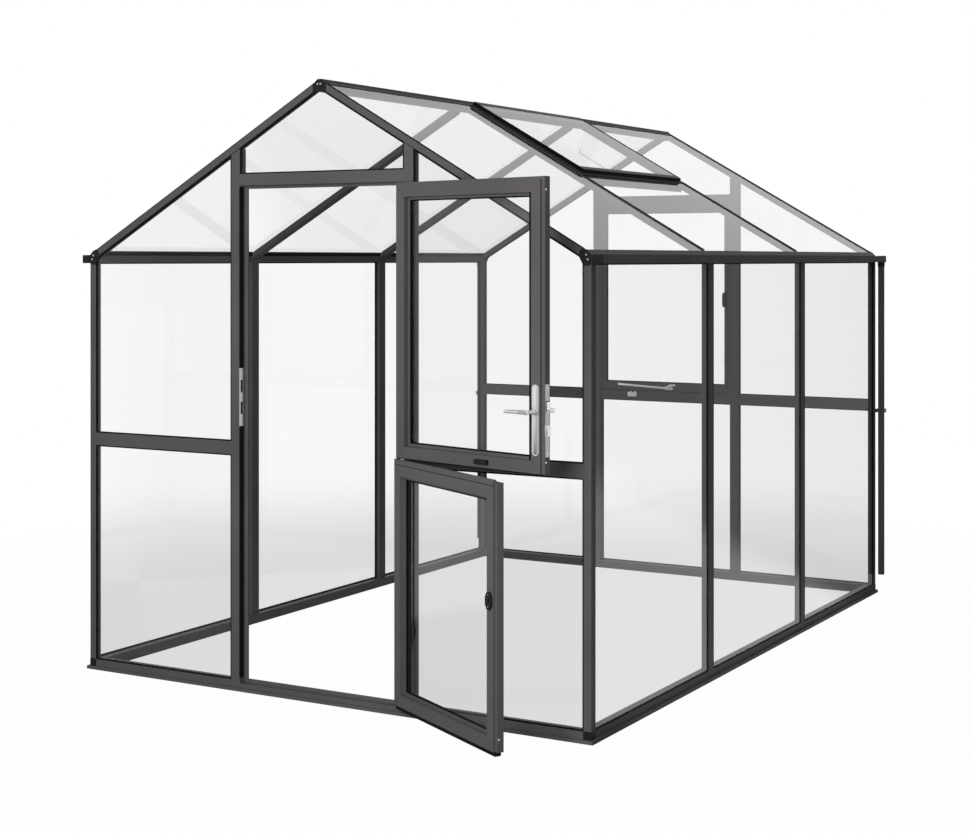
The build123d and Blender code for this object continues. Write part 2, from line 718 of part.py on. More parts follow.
with BuildPart() as pipe_clips:
    with BuildSketch(Plane.XY.offset(CLIP_Z - CLIP_HEIGHT / 2)):
        with Locations((PIPE_X, PIPE_Y)):
            Circle(PIPE_RADIUS + CLIP_WALL)
        with Locations(((POST_X + PIPE_X) / 2, HALF_L + CLIP_STRAP / 2)):
            Rectangle(PIPE_X - POST_X, CLIP_STRAP)
        with Locations((PIPE_X + PIPE_RADIUS + CLIP_LUG / 2, PIPE_Y)):
            Rectangle(CLIP_LUG, 2 * CLIP_WALL)
        with Locations((PIPE_X, PIPE_Y)):
            Circle(PIPE_RADIUS, mode=Mode.SUBTRACT)
    extrude(amount=CLIP_HEIGHT)
    mirror(about=Plane.YZ)
save(pipe_clips, "pipe_clips")

# ---- End plates over the joints of the gable frames ---------------------------------------
with BuildPart() as end_plates:
    reach_x = POST_X - END_PLATE_REACH
    eave_outline = [
        (HALF_W, EAVE_HEIGHT + EAVE_SHOULDER),
        (HALF_W, EAVE_HEIGHT),
        (HALF_W - END_PLATE_DROP, EAVE_HEIGHT - END_PLATE_DROP),
        (POST_X, EAVE_HEIGHT - END_PLATE_DROP),
        (reach_x, under_rafter(reach_x)),
        (reach_x + RAFTER_DEPTH * SIN, roof_z(reach_x + RAFTER_DEPTH * SIN)),
        (lip_x, EAVE_HEIGHT + EAVE_TOP),
    ]
    for y in (HALF_L, -HALF_L - END_PLATE):
        prism_along_y(
            [
                (0, RIDGE_HEIGHT),
                (RAFTER_DEPTH, roof_z(RAFTER_DEPTH)),
                (RAFTER_DEPTH, under_rafter(RAFTER_DEPTH)),
                (RAFTER_DEPTH / 3, RIDGE_HEIGHT - APEX_PLATE_DROP),
                (-RAFTER_DEPTH / 3, RIDGE_HEIGHT - APEX_PLATE_DROP),
                (-RAFTER_DEPTH, under_rafter(RAFTER_DEPTH)),
                (-RAFTER_DEPTH, roof_z(RAFTER_DEPTH)),
            ],
            y,
            y + END_PLATE,
        )
        for side in (-1, 1):
            prism_along_y([(side * x, z) for x, z in eave_outline], y, y + END_PLATE)
save(end_plates, "end_plates")

# ---- Door leaves --------------------------------------------------------------------------
# In a leaf's own workplane X runs from the hinge line to the lock edge, and +Y is the
# side that faces outdoors when the door is shut.


def leaf_plane(opened):
    """Workplane on the hinge line for a leaf opened by an angle from shut."""
    turn = radians(180 + opened)
    return Plane(origin=(HINGE_X, HINGE_Y, 0), x_dir=(cos(turn), sin(turn), 0), z_dir=(0, 0, 1))


UPPER = leaf_plane(UPPER_ANGLE)
LOWER = leaf_plane(LOWER_ANGLE)


def leaf_pane(plane, bottom, top):
    """Clear opening of a leaf's glass, inside its beads."""
    inset = LEAF_MEMBER + BEAD
    middle = -LEAF_BACK - BEAD_DEPTH / 2 - GLASS / 2
    glass_plane = Plane(
        origin=plane.origin + plane.y_dir * middle,
        x_dir=plane.x_dir,
        z_dir=plane.y_dir,
    )
    return [(glass_plane, rectangle(
        (LEAF_PIN_OFFSET + inset, INNER_EDGE - inset),
        (-top + inset, -bottom - inset),
    ))]


def leaf_ring(bottom, top, head):
    """Rebated leaf frame with its glazing beads, bottom to top of its inner face."""
    clear_x = (LEAF_PIN_OFFSET + LEAF_MEMBER, INNER_EDGE - LEAF_MEMBER)
    clear_z = (bottom + LEAF_MEMBER, top - LEAF_MEMBER)
    block((LEAF_PIN_OFFSET, LEAF_EDGE), (BODY_IN, -LEAF_BACK), (bottom, head))
    block((LEAF_PIN_OFFSET, INNER_EDGE), (FACE_IN, BODY_IN), (bottom, top))
    block(clear_x, (FACE_IN, -LEAF_BACK - BEAD_DEPTH), clear_z, mode=Mode.SUBTRACT)
    block(
        (clear_x[0] + BEAD, clear_x[1] - BEAD),
        (FACE_IN, -LEAF_BACK),
        (clear_z[0] + BEAD, clear_z[1] - BEAD),
        mode=Mode.SUBTRACT,
    )


upper_pane = leaf_pane(UPPER, UPPER_BOTTOM, UPPER_TOP)
lower_pane = leaf_pane(LOWER, LOWER_BOTTOM, LOWER_TOP)

with BuildPart(UPPER) as upper_leaf_frame:
    leaf_ring(UPPER_BOTTOM, UPPER_TOP, UPPER_TOP + HEAD_REBATE)
    block(
        (PLATE_X - SPINDLE_HOLE, PLATE_X + SPINDLE_HOLE),
        (FACE_IN, -LEAF_BACK),
        (LEVER_Z - SPINDLE_HOLE, LEVER_Z + SPINDLE_HOLE),
        mode=Mode.SUBTRACT,
    )
    cut_grooves(upper_pane)
save(upper_leaf_frame, "upper_leaf_frame")

with BuildPart(LOWER) as lower_leaf_frame:
    leaf_ring(LOWER_BOTTOM, LOWER_TOP, LOWER_TOP + LOWER_BODY_RISE)
    block(
        (LEAF_PIN_OFFSET, INNER_EDGE),
        (FACE_IN, FACE_IN + LOWER_LIP_THICK),
        (LOWER_TOP, LOWER_LIP_TOP),
    )
    block(
        (LEAF_PIN_OFFSET, INNER_EDGE),
        (FACE_IN, FACE_IN + LIP_SEAM_DEPTH),
        (LOWER_TOP - LIP_SEAM, LOWER_TOP),
        mode=Mode.SUBTRACT,
    )
    cut_grooves(lower_pane)
save(lower_leaf_frame, "lower_leaf_frame")

with BuildPart() as upper_leaf_glass:
    glaze(upper_pane, BITE)
save(upper_leaf_glass, "upper_leaf_glass")

with BuildPart() as lower_leaf_glass:
    glaze(lower_pane, BITE)
save(lower_leaf_glass, "lower_leaf_glass")

with BuildPart(LOWER) as door_seal:
    block(
        (LEAF_PIN_OFFSET, INNER_EDGE),
        (BODY_IN, BODY_IN + SEAL_THICK),
        (LOWER_BOTTOM - SEAL_DROP, LOWER_BOTTOM),
    )
save(door_seal, "door_seal")

# ---- Hinges: jamb knuckle below, leaf knuckle above, on each hinge line --------------------
upper_hinges = (UPPER_BOTTOM + HINGE_INSET, UPPER_TOP - HINGE_INSET)
lower_hinges = (LOWER_BOTTOM + HINGE_INSET, LOWER_TOP - HINGE_INSET)


def leaf_knuckles(heights):
    """Leaf half of each hinge: a flap on the leaf's outer face and its knuckle."""
    for z in heights:
        with Locations((0, 0, z + KNUCKLE / 2)):
            Cylinder(HINGE_RADIUS, KNUCKLE)
        block((0, HINGE_FLAP), (-LEAF_BACK, -LEAF_BACK + HINGE_FLAP_THICK), (z, z + KNUCKLE))
        with Locations((0, 0, z + KNUCKLE / 2)):
            Cylinder(HINGE_PIN + KNUCKLE_GAP, KNUCKLE, mode=Mode.SUBTRACT)


with BuildPart(UPPER) as upper_leaf_hinges:
    leaf_knuckles(upper_hinges)
save(upper_leaf_hinges, "upper_leaf_hinges")

with BuildPart(LOWER) as lower_leaf_hinges:
    leaf_knuckles(lower_hinges)
save(lower_leaf_hinges, "lower_leaf_hinges")

with BuildPart() as jamb_hinges:
    for z in upper_hinges + lower_hinges:
        with Locations((HINGE_X, HINGE_Y, z - KNUCKLE / 2 - KNUCKLE_GAP)):
            Cylinder(HINGE_RADIUS, KNUCKLE)
        block(
            (HINGE_X, JAMB_OUTER - SASH_GAP),
            (-HALF_L - HINGE_FLAP_THICK, -HALF_L),
            (z - KNUCKLE - KNUCKLE_GAP, z - KNUCKLE_GAP),
        )
        block(
            (HINGE_X, HINGE_X + HINGE_RADIUS),
            (HINGE_Y, -HALF_L),
            (z - KNUCKLE - KNUCKLE_GAP, z - KNUCKLE_GAP),
        )
        with Locations((HINGE_X, HINGE_Y, z)):
            Cylinder(HINGE_PIN, 2 * KNUCKLE - 2 * KNUCKLE_GAP)
save(jamb_hinges, "jamb_hinges")

# ---- Lock, levers and catches -------------------------------------------------------------
with BuildPart(UPPER) as lock_plates:
    with Locations((PLATE_X, FACE_IN - PLATE_THICK / 2, PLATE_Z)):
        Box(PLATE_WIDTH, PLATE_THICK, PLATE_LENGTH)
    with Locations((PLATE_X, -LEAF_BACK + PLATE_THICK / 2, PLATE_Z)):
        Box(PLATE_WIDTH, PLATE_THICK, PLATE_LENGTH)
    fillet(lock_plates.edges().filter_by(Axis((0, 0, 0), UPPER.y_dir)), PLATE_WIDTH * 0.45)
    block(
        (PLATE_X - SPINDLE_HOLE, PLATE_X + SPINDLE_HOLE),
        (FACE_IN - PLATE_THICK, -LEAF_BACK + PLATE_THICK),
        (LEVER_Z - SPINDLE_HOLE, LEVER_Z + SPINDLE_HOLE),
        mode=Mode.SUBTRACT,
    )
save(lock_plates, "lock_plates")

with BuildPart(UPPER) as lock_faceplate:
    with Locations((LEAF_EDGE + FACEPLATE_THICK / 2, FACEPLATE_Y, FACEPLATE_Z)):
        Box(FACEPLATE_THICK, FACEPLATE_WIDTH, FACEPLATE_LENGTH)
    for (width, height), z in ((LATCH_BOLT, LATCH_Z), (DEADBOLT, DEADBOLT_Z)):
        block(
            (LEAF_EDGE, LEAF_EDGE + BOLT_REACH),
            (FACEPLATE_Y - width / 2, FACEPLATE_Y + width / 2),
            (z - height / 2, z + height / 2),
        )
save(lock_faceplate, "lock_faceplate")

with BuildPart() as strike_plate:
    block(
        (-JAMB_INNER - STRIKE_THICK, -JAMB_INNER),
        strike_y,
        (STRIKE_Z - STRIKE_LENGTH / 2, STRIKE_Z + STRIKE_LENGTH / 2),
    )
    slot_width, slot_height = STRIKE_SLOT
    for z in (STRIKE_Z - SLOT_OFFSET, STRIKE_Z + SLOT_OFFSET):
        block(
            (-JAMB_INNER - STRIKE_THICK, -JAMB_INNER),
            (sum(strike_y) / 2 - slot_width / 2, sum(strike_y) / 2 + slot_width / 2),
            (z - slot_height / 2, z + slot_height / 2),
            mode=Mode.SUBTRACT,
        )
save(strike_plate, "strike_plate")


def lever(face, side):
    """Hub and arm of one lever, standing off a lock plate."""
    end = face + side * LEVER_STANDOFF
    with Locations((PLATE_X, (face + end) / 2, LEVER_Z)):
        Cylinder(LEVER_HUB, LEVER_STANDOFF, rotation=(90, 0, 0))
    with Locations((PLATE_X - LEVER_LENGTH / 2, end, LEVER_Z)):
        Cylinder(LEVER_RADIUS, LEVER_LENGTH, rotation=(0, 90, 0))


with BuildPart(UPPER) as lever_handles:
    inner = FACE_IN - PLATE_THICK - KNUCKLE_GAP
    outer = -LEAF_BACK + PLATE_THICK + KNUCKLE_GAP
    lever(inner, -1)
    lever(outer, 1)
    block(
        (PLATE_X - SPINDLE, PLATE_X + SPINDLE),
        (inner, outer),
        (LEVER_Z - SPINDLE, LEVER_Z + SPINDLE),
    )
save(lever_handles, "lever_handles")

with BuildPart(UPPER) as leaf_catch:
    block(
        ((INNER_EDGE + LEAF_PIN_OFFSET - CATCH_LENGTH) / 2 + LEAF_MEMBER * 2,
         (INNER_EDGE + LEAF_PIN_OFFSET + CATCH_LENGTH) / 2 + LEAF_MEMBER * 2),
        (FACE_IN - CATCH_THICK, FACE_IN),
        (UPPER_BOTTOM + CATCH_RISE, UPPER_BOTTOM + CATCH_RISE + CATCH_HEIGHT),
    )
save(leaf_catch, "leaf_catch")

with BuildPart(LOWER) as turn_latch:
    with Locations((INNER_EDGE - LEAF_MEMBER / 2, FACE_IN - TURN_THICK / 2, TURN_Z)):
        Box(TURN_WIDTH, TURN_THICK, TURN_HEIGHT)
    fillet(turn_latch.edges().filter_by(Axis((0, 0, 0), LOWER.y_dir)), TURN_WIDTH * 0.3)
save(turn_latch, "turn_latch")
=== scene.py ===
"""Looks of the garden greenhouse: finishes, seals, fittings, floor, lamps and camera.

Metres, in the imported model's own frame: ground at Z = 0, door gable at -Y.
"""

import json
from math import cos, pi, radians, sin

import bmesh
import bpy
from bmesh.types import BMEdge, BMFace, BMVert
from mathutils import Matrix, Vector


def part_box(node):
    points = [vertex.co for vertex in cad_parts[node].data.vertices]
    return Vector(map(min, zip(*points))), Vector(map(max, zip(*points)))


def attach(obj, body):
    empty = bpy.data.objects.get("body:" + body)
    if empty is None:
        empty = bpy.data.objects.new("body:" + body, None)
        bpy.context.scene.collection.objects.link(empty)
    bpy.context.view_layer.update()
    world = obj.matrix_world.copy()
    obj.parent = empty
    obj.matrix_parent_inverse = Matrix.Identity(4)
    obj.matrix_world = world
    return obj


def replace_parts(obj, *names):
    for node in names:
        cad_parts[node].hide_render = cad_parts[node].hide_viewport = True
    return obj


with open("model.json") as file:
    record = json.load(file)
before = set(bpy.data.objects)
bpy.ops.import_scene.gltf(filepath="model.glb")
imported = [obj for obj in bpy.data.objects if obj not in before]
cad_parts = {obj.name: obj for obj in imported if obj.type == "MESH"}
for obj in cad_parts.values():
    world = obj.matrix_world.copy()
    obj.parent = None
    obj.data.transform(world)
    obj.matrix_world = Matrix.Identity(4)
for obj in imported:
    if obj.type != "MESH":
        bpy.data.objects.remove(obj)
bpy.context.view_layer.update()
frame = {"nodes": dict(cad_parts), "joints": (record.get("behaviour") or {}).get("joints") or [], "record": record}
scene = bpy.context.scene


# ---- Materials ------------------------------------------------------------------------------
def linear(hex_code):
    """sRGB hex to the linear colour that a shader socket takes."""
    channels = [int(hex_code[i:i + 2], 16) / 255 for i in (1, 3, 5)]
    return [*(c / 12.92 if c <= 0.04045 else ((c + 0.055) / 1.055) ** 2.4 for c in channels), 1.0]


def add(tree, kind, settings=None, **links):
    """Adds a node. Settings are properties or socket values; links feed sockets, _1 by number."""
    node = tree.nodes.new(kind)
    for name, value in (settings or {}).items():
        if isinstance(name, str) and hasattr(node, name):
            setattr(node, name, value)
        else:
            node.inputs[name].default_value = value
    for name, source in links.items():
        socket = int(name[1:]) if name[1:].isdigit() else name.replace("_", " ")
        tree.links.new(source, node.inputs[socket])
    return node


def material(name):
    """New node material with only its output."""
    made = bpy.data.materials.new(name)
    made.use_nodes = True
    made.node_tree.nodes.clear()
    return made, made.node_tree, made.node_tree.nodes.new("ShaderNodeOutputMaterial")


def powder_coated_aluminium():
    """Polyester powder baked on extruded aluminium: fine satin, with a faint orange peel.

    The peel is about 1 mm across; it is drawn at 3 mm so that it shows.
    """
    made, tree, out = material("powder_coated_aluminium")
    place = add(tree, "ShaderNodeTexCoord").outputs["Object"]
    peel = add(tree, "ShaderNodeTexNoise", {"Scale": 330.0, "Detail": 2.0}, Vector=place)
    cloud = add(tree, "ShaderNodeTexNoise", {"Scale": 2.5, "Detail": 3.0}, Vector=place)
    tone = add(tree, "ShaderNodeValToRGB", Fac=cloud.outputs["Fac"])
    tone.color_ramp.elements[0].position = 0.35
    tone.color_ramp.elements[0].color = linear("#535150")
    tone.color_ramp.elements[1].position = 0.65
    tone.color_ramp.elements[1].color = linear("#5a5856")
    rough = add(tree, "ShaderNodeMapRange", {"To Min": 0.48, "To Max": 0.58}, Value=peel.outputs["Fac"])
    bump = add(tree, "ShaderNodeBump", {"Strength": 0.12, "Distance": 0.0004}, Height=peel.outputs["Fac"])
    coat = add(
        tree, "ShaderNodeBsdfPrincipled", {"IOR": 1.5, "Specular IOR Level": 0.12},
        Base_Color=tone.outputs["Color"], Roughness=rough.outputs["Result"],
        Normal=bump.outputs["Normal"],
    )
    tree.links.new(coat.outputs["BSDF"], out.inputs["Surface"])
    return made


def float_glass():
    """4 mm float glass: clear, with bright glancing reflections.

    Each pane has two faces; only the one turned to the viewer mirrors, so a pane shines once.
    """
    made, tree, out = material("float_glass")
    clear = add(tree, "ShaderNodeBsdfTransparent", {"Color": linear("#fefefe")})
    shine = add(tree, "ShaderNodeBsdfGlossy", {"Color": linear("#ffffff"), "Roughness": 0.0})
    edge = add(tree, "ShaderNodeFresnel", {"IOR": 1.5})
    behind = add(tree, "ShaderNodeNewGeometry").outputs["Backfacing"]
    ahead = add(tree, "ShaderNodeMath", {"operation": "SUBTRACT", 0: 1.0}, _1=behind)
    share = add(
        tree, "ShaderNodeMath", {"operation": "MULTIPLY"},
        _0=edge.outputs["Fac"], _1=ahead.outputs["Value"],
    )
    both = add(
        tree, "ShaderNodeMixShader",
        Fac=share.outputs["Value"], _1=clear.outputs["BSDF"], _2=shine.outputs["BSDF"],
    )
    tree.links.new(both.outputs["Shader"], out.inputs["Surface"])
    return made


def satin_chrome():
    """Brushed and satin-plated zinc: pale grey metal with a soft, slightly streaked shine."""
    made, tree, out = material("satin_chrome")
    place = add(tree, "ShaderNodeTexCoord").outputs["Object"]
    along = add(tree, "ShaderNodeMapping", {"Scale": (900.0, 900.0, 60.0)}, Vector=place)
    brush = add(tree, "ShaderNodeTexNoise", {"Scale": 1.0, "Detail": 3.0}, Vector=along.outputs["Vector"])
    rough = add(tree, "ShaderNodeMapRange", {"To Min": 0.26, "To Max": 0.40}, Value=brush.outputs["Fac"])
    metal = add(
        tree, "ShaderNodeBsdfPrincipled", {"Base Color": linear("#e9e8e6"), "Metallic": 1.0},
        Roughness=rough.outputs["Result"],
    )
    tree.links.new(metal.outputs["BSDF"], out.inputs["Surface"])
    return made


def galvanised_steel():
    """Zinc-plated pressed steel: duller and darker than the chrome, with a soft mottle.

    The mottle is 2 to 5 mm across.
    """
    made, tree, out = material("galvanised_steel")
    place = add(tree, "ShaderNodeTexCoord").outputs["Object"]
    mottle = add(tree, "ShaderNodeTexNoise", {"Scale": 280.0, "Detail": 2.0}, Vector=place)
    tone = add(tree, "ShaderNodeValToRGB", Fac=mottle.outputs["Fac"])
    tone.color_ramp.elements[0].color = linear("#a9a8a5")
    tone.color_ramp.elements[1].color = linear("#bfbebb")
    rough = add(tree, "ShaderNodeMapRange", {"To Min": 0.40, "To Max": 0.52}, Value=mottle.outputs["Fac"])
    metal = add(
        tree, "ShaderNodeBsdfPrincipled", {"Metallic": 1.0},
        Base_Color=tone.outputs["Color"], Roughness=rough.outputs["Result"],
    )
    tree.links.new(metal.outputs["BSDF"], out.inputs["Surface"])
    return made


def moulded_nylon():
    """Glass-filled black nylon: matt, with the fine spark-eroded grain of its mould."""
    made, tree, out = material("moulded_nylon")
    place = add(tree, "ShaderNodeTexCoord").outputs["Object"]
    grain = add(tree, "ShaderNodeTexNoise", {"Scale": 900.0, "Detail": 2.0}, Vector=place)
    bump = add(tree, "ShaderNodeBump", {"Strength": 0.25, "Distance": 0.0003}, Height=grain.outputs["Fac"])
    nylon = add(
        tree, "ShaderNodeBsdfPrincipled",
        {"Base Color": linear("#1f1f1f"), "IOR": 1.53, "Specular IOR Level": 0.12, "Roughness": 0.55},
        Normal=bump.outputs["Normal"],
    )
    tree.links.new(nylon.outputs["BSDF"], out.inputs["Surface"])
    return made


def extruded_rubber():
    """Black EPDM sealing strip: dull, with a faint unevenness of its skin."""
    made, tree, out = material("extruded_rubber")
    place = add(tree, "ShaderNodeTexCoord").outputs["Object"]
    skin = add(tree, "ShaderNodeTexNoise", {"Scale": 400.0, "Detail": 1.0}, Vector=place)
    rough = add(tree, "ShaderNodeMapRange", {"To Min": 0.65, "To Max": 0.8}, Value=skin.outputs["Fac"])
    rubber = add(
        tree, "ShaderNodeBsdfPrincipled",
        {"Base Color": linear("#121212"), "IOR": 1.5, "Specular IOR Level": 0.1},
        Roughness=rough.outputs["Result"],
    )
    tree.links.new(rubber.outputs["BSDF"], out.inputs["Surface"])
    return made


finishes = {
    "anthracite_coating": powder_coated_aluminium(),
    "clear_glass": float_glass(),
    "satin_metal": satin_chrome(),
    "black_plastic": moulded_nylon(),
    "seal_rubber": extruded_rubber(),
}
zinc = galvanised_steel()
for part in frame["record"]["subparts"]:
    for slot in frame["nodes"][part["node"]].material_slots:
        slot.material = finishes[part["material_slot"]]


# ---- Shaping of small pieces ----------------------------------------------------------------
# Offsets of a millimetre or less in the calls further down sink a piece into what holds it, or
# lift it clear of a face, so that nothing floats and no two faces coincide.
WELD = 1e-6               # points this close become one
SHARP = radians(32)       # edges from this angle on stay sharp
FOLD = radians(50)        # edges of a swept bar from this angle on are rounded


def finished(shape, name, slot, body, finish=None):
    """Turns a shape into a piece: faces outwards, smooth up to its edges, riding on its body."""
    bmesh.ops.recalc_face_normals(shape, faces=shape.faces)
    for face in shape.faces:
        face.smooth = True
    mesh = bpy.data.meshes.new(name)
    shape.to_mesh(mesh)
    shape.free()
    mesh.set_sharp_from_angle(angle=SHARP)
    mesh.materials.append(finish or finishes[slot])
    piece = bpy.data.objects.new(name, mesh)
    scene.collection.objects.link(piece)
    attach(piece, body)
    return piece


def placed(shape, before, place):
    """Moves what was added to a shape since `before` to its place, and gives its vertices."""
    new = [vert for vert in shape.verts if vert not in before]
    bmesh.ops.transform(shape, matrix=place, verts=new)
    return new


def only(kind, items):
    """Items of one kind, out of what an operator gives back."""
    return [item for item in items if isinstance(item, kind)]


def new_edges(shape, before):
    """Edges at the vertices added to a shape since `before`."""
    return {edge for vert in shape.verts if vert not in before for edge in vert.link_edges}


def bevel(shape, edges, round_by, segments):
    """Rounds edges of a shape."""
    bmesh.ops.bevel(
        shape, geom=list(edges), offset=round_by, offset_type="OFFSET", affect="EDGES",
        segments=segments, profile=0.5, material=-1, clamp_overlap=True,
    )


def cube_between(shape, low, high):
    """Sharp-edged block between two corners."""
    low, high = Vector(low), Vector(high)
    size = Matrix.Diagonal((*(high - low), 1.0))
    bmesh.ops.create_cube(shape, size=1.0, matrix=Matrix.Translation((low + high) / 2) @ size)


def block(shape, low, high, round_by, place=Matrix()):
    """Block between two corners with rounded edges."""
    before = set(shape.verts)
    cube_between(shape, low, high)
    bevel(shape, new_edges(shape, before), round_by=round_by, segments=3)
    return placed(shape, before, place)


def spun(shape, points, lines, steps):
    """Full turn of a line of points about Z."""
    bmesh.ops.spin(
        shape, geom=points + lines, cent=(0, 0, 0), axis=(0, 0, 1), angle=2 * pi,
        steps=steps, use_merge=True,
    )


def turned(shape, profile, place, steps=24):
    """Solid turned about its own Z from a profile of radius and height, on the axis at both ends."""
    before = set(shape.verts)
    points = [shape.verts.new((radius, 0.0, height)) for radius, height in profile]
    spun(shape, points, [shape.edges.new(pair) for pair in zip(points, points[1:])], steps=steps)
    bmesh.ops.remove_doubles(shape, verts=[v for v in shape.verts if v not in before], dist=WELD)
    return placed(shape, before, place)


def swept(shape, section, legs, place=Matrix()):
    """Bar grown leg by leg from the +X end of a block, with rounded edges."""
    before = set(shape.verts)
    cube_between(shape, *section)
    tip = max(
        (face for face in shape.faces if face.verts[0] not in before),
        key=lambda face: face.calc_center_median().x,
    )
    for leg in legs:
        tip = only(BMFace, bmesh.ops.extrude_face_region(shape, geom=[tip])["geom"])[0]
        bmesh.ops.translate(shape, verts=tip.verts, vec=leg)
    folds = [
        edge for edge in new_edges(shape, before)
        if len(edge.link_faces) == 2 and edge.calc_face_angle(0.0) > FOLD
    ]
    bevel(shape, folds, round_by=0.0012, segments=2)
    return placed(shape, before, place)


def facing(point, direction):
    """Place whose Z looks in a direction."""
    turn = Vector(direction).to_track_quat("Z", "Y").to_matrix().to_4x4()
    return Matrix.Translation(point) @ turn


def mirrored(side, gable=1):
    """Mirror image to one side and one gable of the house, each 1 or -1."""
    return Matrix.Diagonal((side, gable, 1.0, 1.0))


def corners(box):
    """Both corners of a box as vectors."""
    return [Vector(corner) for corner in box]


def box_in(node, place):
    """Lowest and highest corner of a CAD node, in another place's own axes."""
    inverse = place.inverted()
    columns = list(zip(*(inverse @ vert.co for vert in frame["nodes"][node].data.vertices)))
    return Vector(map(min, columns)), Vector(map(max, columns))


def leaf_place(joint_name):
    """Axes of an open door leaf: X from its hinge line to its lock edge, Y to its outdoor side."""
    joint = next(joint for joint in frame["joints"] if joint["name"] == joint_name)
    hinge = Vector((*joint["pos_m"][:2], 0.0))
    return Matrix.Translation(hinge) @ Matrix.Rotation(radians(180 - joint["range_deg"][0]), 4, "Z")


UPPER = leaf_place("upper_leaf_hinge")
LOWER = leaf_place("lower_leaf_hinge")

# Profiles to turn, as radius and height
SCREW = [(0, -0.0004), (0.0036, -0.0004), (0.0036, 0.0006), (0.0031, 0.0013), (0.0019, 0.0017),
         (0.0014, 0.0007), (0, 0.0007)]
ROSE = [(0, 0), (0.0125, 0), (0.0125, 0.003), (0.0115, 0.0042), (0.0085, 0.0045), (0, 0.0045)]
KNOB = [(0, -0.003), (0.0095, -0.003), (0.0095, 0.0016), (0.0085, 0.0028), (0.0035, 0.0030),
        (0.0028, 0.0018), (0, 0.0018)]
PIN_CAP = [(0, -0.001), (0.0062, -0.001), (0.0062, 0.0004), (0.0054, 0.0016), (0.003, 0.0022),
           (0, 0.0024)]
PIVOT = [(0, -0.001), (0.006, -0.001), (0.006, 0.017), (0.0045, 0.019), (0, 0.019)]
STUD = [(0, -0.001), (0.0032, -0.001), (0.0032, 0.0006), (0.0022, 0.0014), (0, 0.0016)]
VENT_PIN = [(0, 0.0), (0.0045, 0.0), (0.0045, 0.020), (0, 0.020)]
GRIP_ROSE = [(0, 0), (0.0075, 0), (0.0075, 0.003), (0.0062, 0.0045), (0, 0.005)]
CLIP_BOLT = [(0, 0.002), (0.0045, 0.002), (0.0045, 0.0045), (0.0036, 0.0056), (0, 0.0058)]
SOCKET = [(0.0152, 0.0), (0.0175, 0.0), (0.0175, -0.020), (0.0168, -0.022), (0.0152, -0.022)]


# ---- Glazing strips and seals ---------------------------------------------------------------
PANE_BITE = 0.006         # glass held in the frame, on each edge
PANE_AREA = 0.02          # a face larger than this is the face of a pane, not its edge
STRIP_WIDTH = 0.005
STRIP_HEIGHT = 0.0025


def glazing_strips(node, body):
    """Rubber strips round the panes of a node, on both faces, from the frame's edge inwards."""
    shape = bmesh.new()
    shape.from_mesh(frame["nodes"][node].data)
    bmesh.ops.remove_doubles(shape, verts=shape.verts, dist=WELD)
    bmesh.ops.dissolve_limit(shape, angle_limit=radians(1), verts=shape.verts, edges=shape.edges)
    strips = set()
    for pane in [face for face in shape.faces if face.calc_area() > PANE_AREA]:
        lift = pane.normal * STRIP_HEIGHT
        bmesh.ops.inset_individual(shape, faces=[pane], thickness=PANE_BITE, use_even_offset=True)
        ring = bmesh.ops.inset_individual(
            shape, faces=[pane], thickness=STRIP_WIDTH, use_even_offset=True,
        )["faces"]
        raised = only(BMVert, bmesh.ops.extrude_face_region(shape, geom=ring, use_keep_orig=True)["geom"])
        bmesh.ops.translate(shape, verts=raised, vec=lift)
        strips.update(ring)
        strips.update(face for corner in raised for face in corner.link_faces)
    spare = [face for face in shape.faces if face not in strips]
    bmesh.ops.delete(shape, geom=spare, context="FACES")
    return finished(shape, f"{node}_strips", "seal_rubber", body)


for node in ("front_glass", "rear_glass", "side_glass", "window_glass"):
    glazing_strips(node, "frame")
glazing_strips("upper_leaf_glass", "upper_leaf")
glazing_strips("lower_leaf_glass", "lower_leaf")

SASH_GAP = 0.004          # the sash to its frame
SASH_LAP = 0.001          # seal over the sash's own edge
SASH_SEAL_DEPTH = 0.008
SASH_SEAL_IN = 0.012      # middle plane of the seal, in from the sash's outer face
sash_low, sash_high = corners(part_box("window_sash"))
sash_middle = (sash_low + sash_high) / 2
sash_span = sash_high - sash_low
seal = bmesh.new()
bmesh.ops.create_grid(seal, x_segments=1, y_segments=1, size=0.5)
bmesh.ops.scale(
    seal, verts=seal.verts, vec=(sash_span.x + 2 * SASH_GAP, sash_span.z + 2 * SASH_GAP, 1.0),
)
bmesh.ops.inset_region(
    seal, faces=seal.faces, thickness=SASH_GAP + SASH_LAP, use_boundary=True, use_even_offset=True,
)
inside = max(seal.faces, key=lambda face: face.calc_area())
bmesh.ops.delete(seal, geom=[inside], context="FACES")
bmesh.ops.solidify(seal, geom=seal.faces, thickness=SASH_SEAL_DEPTH)
upright = Matrix.Rotation(radians(90), 4, "X")
seal_spot = Matrix.Translation((sash_middle.x, sash_low.y + SASH_SEAL_IN, sash_middle.z))
bmesh.ops.transform(seal, verts=seal.verts, matrix=seal_spot @ upright)
finished(seal, "sash_seal", "seal_rubber", "frame")

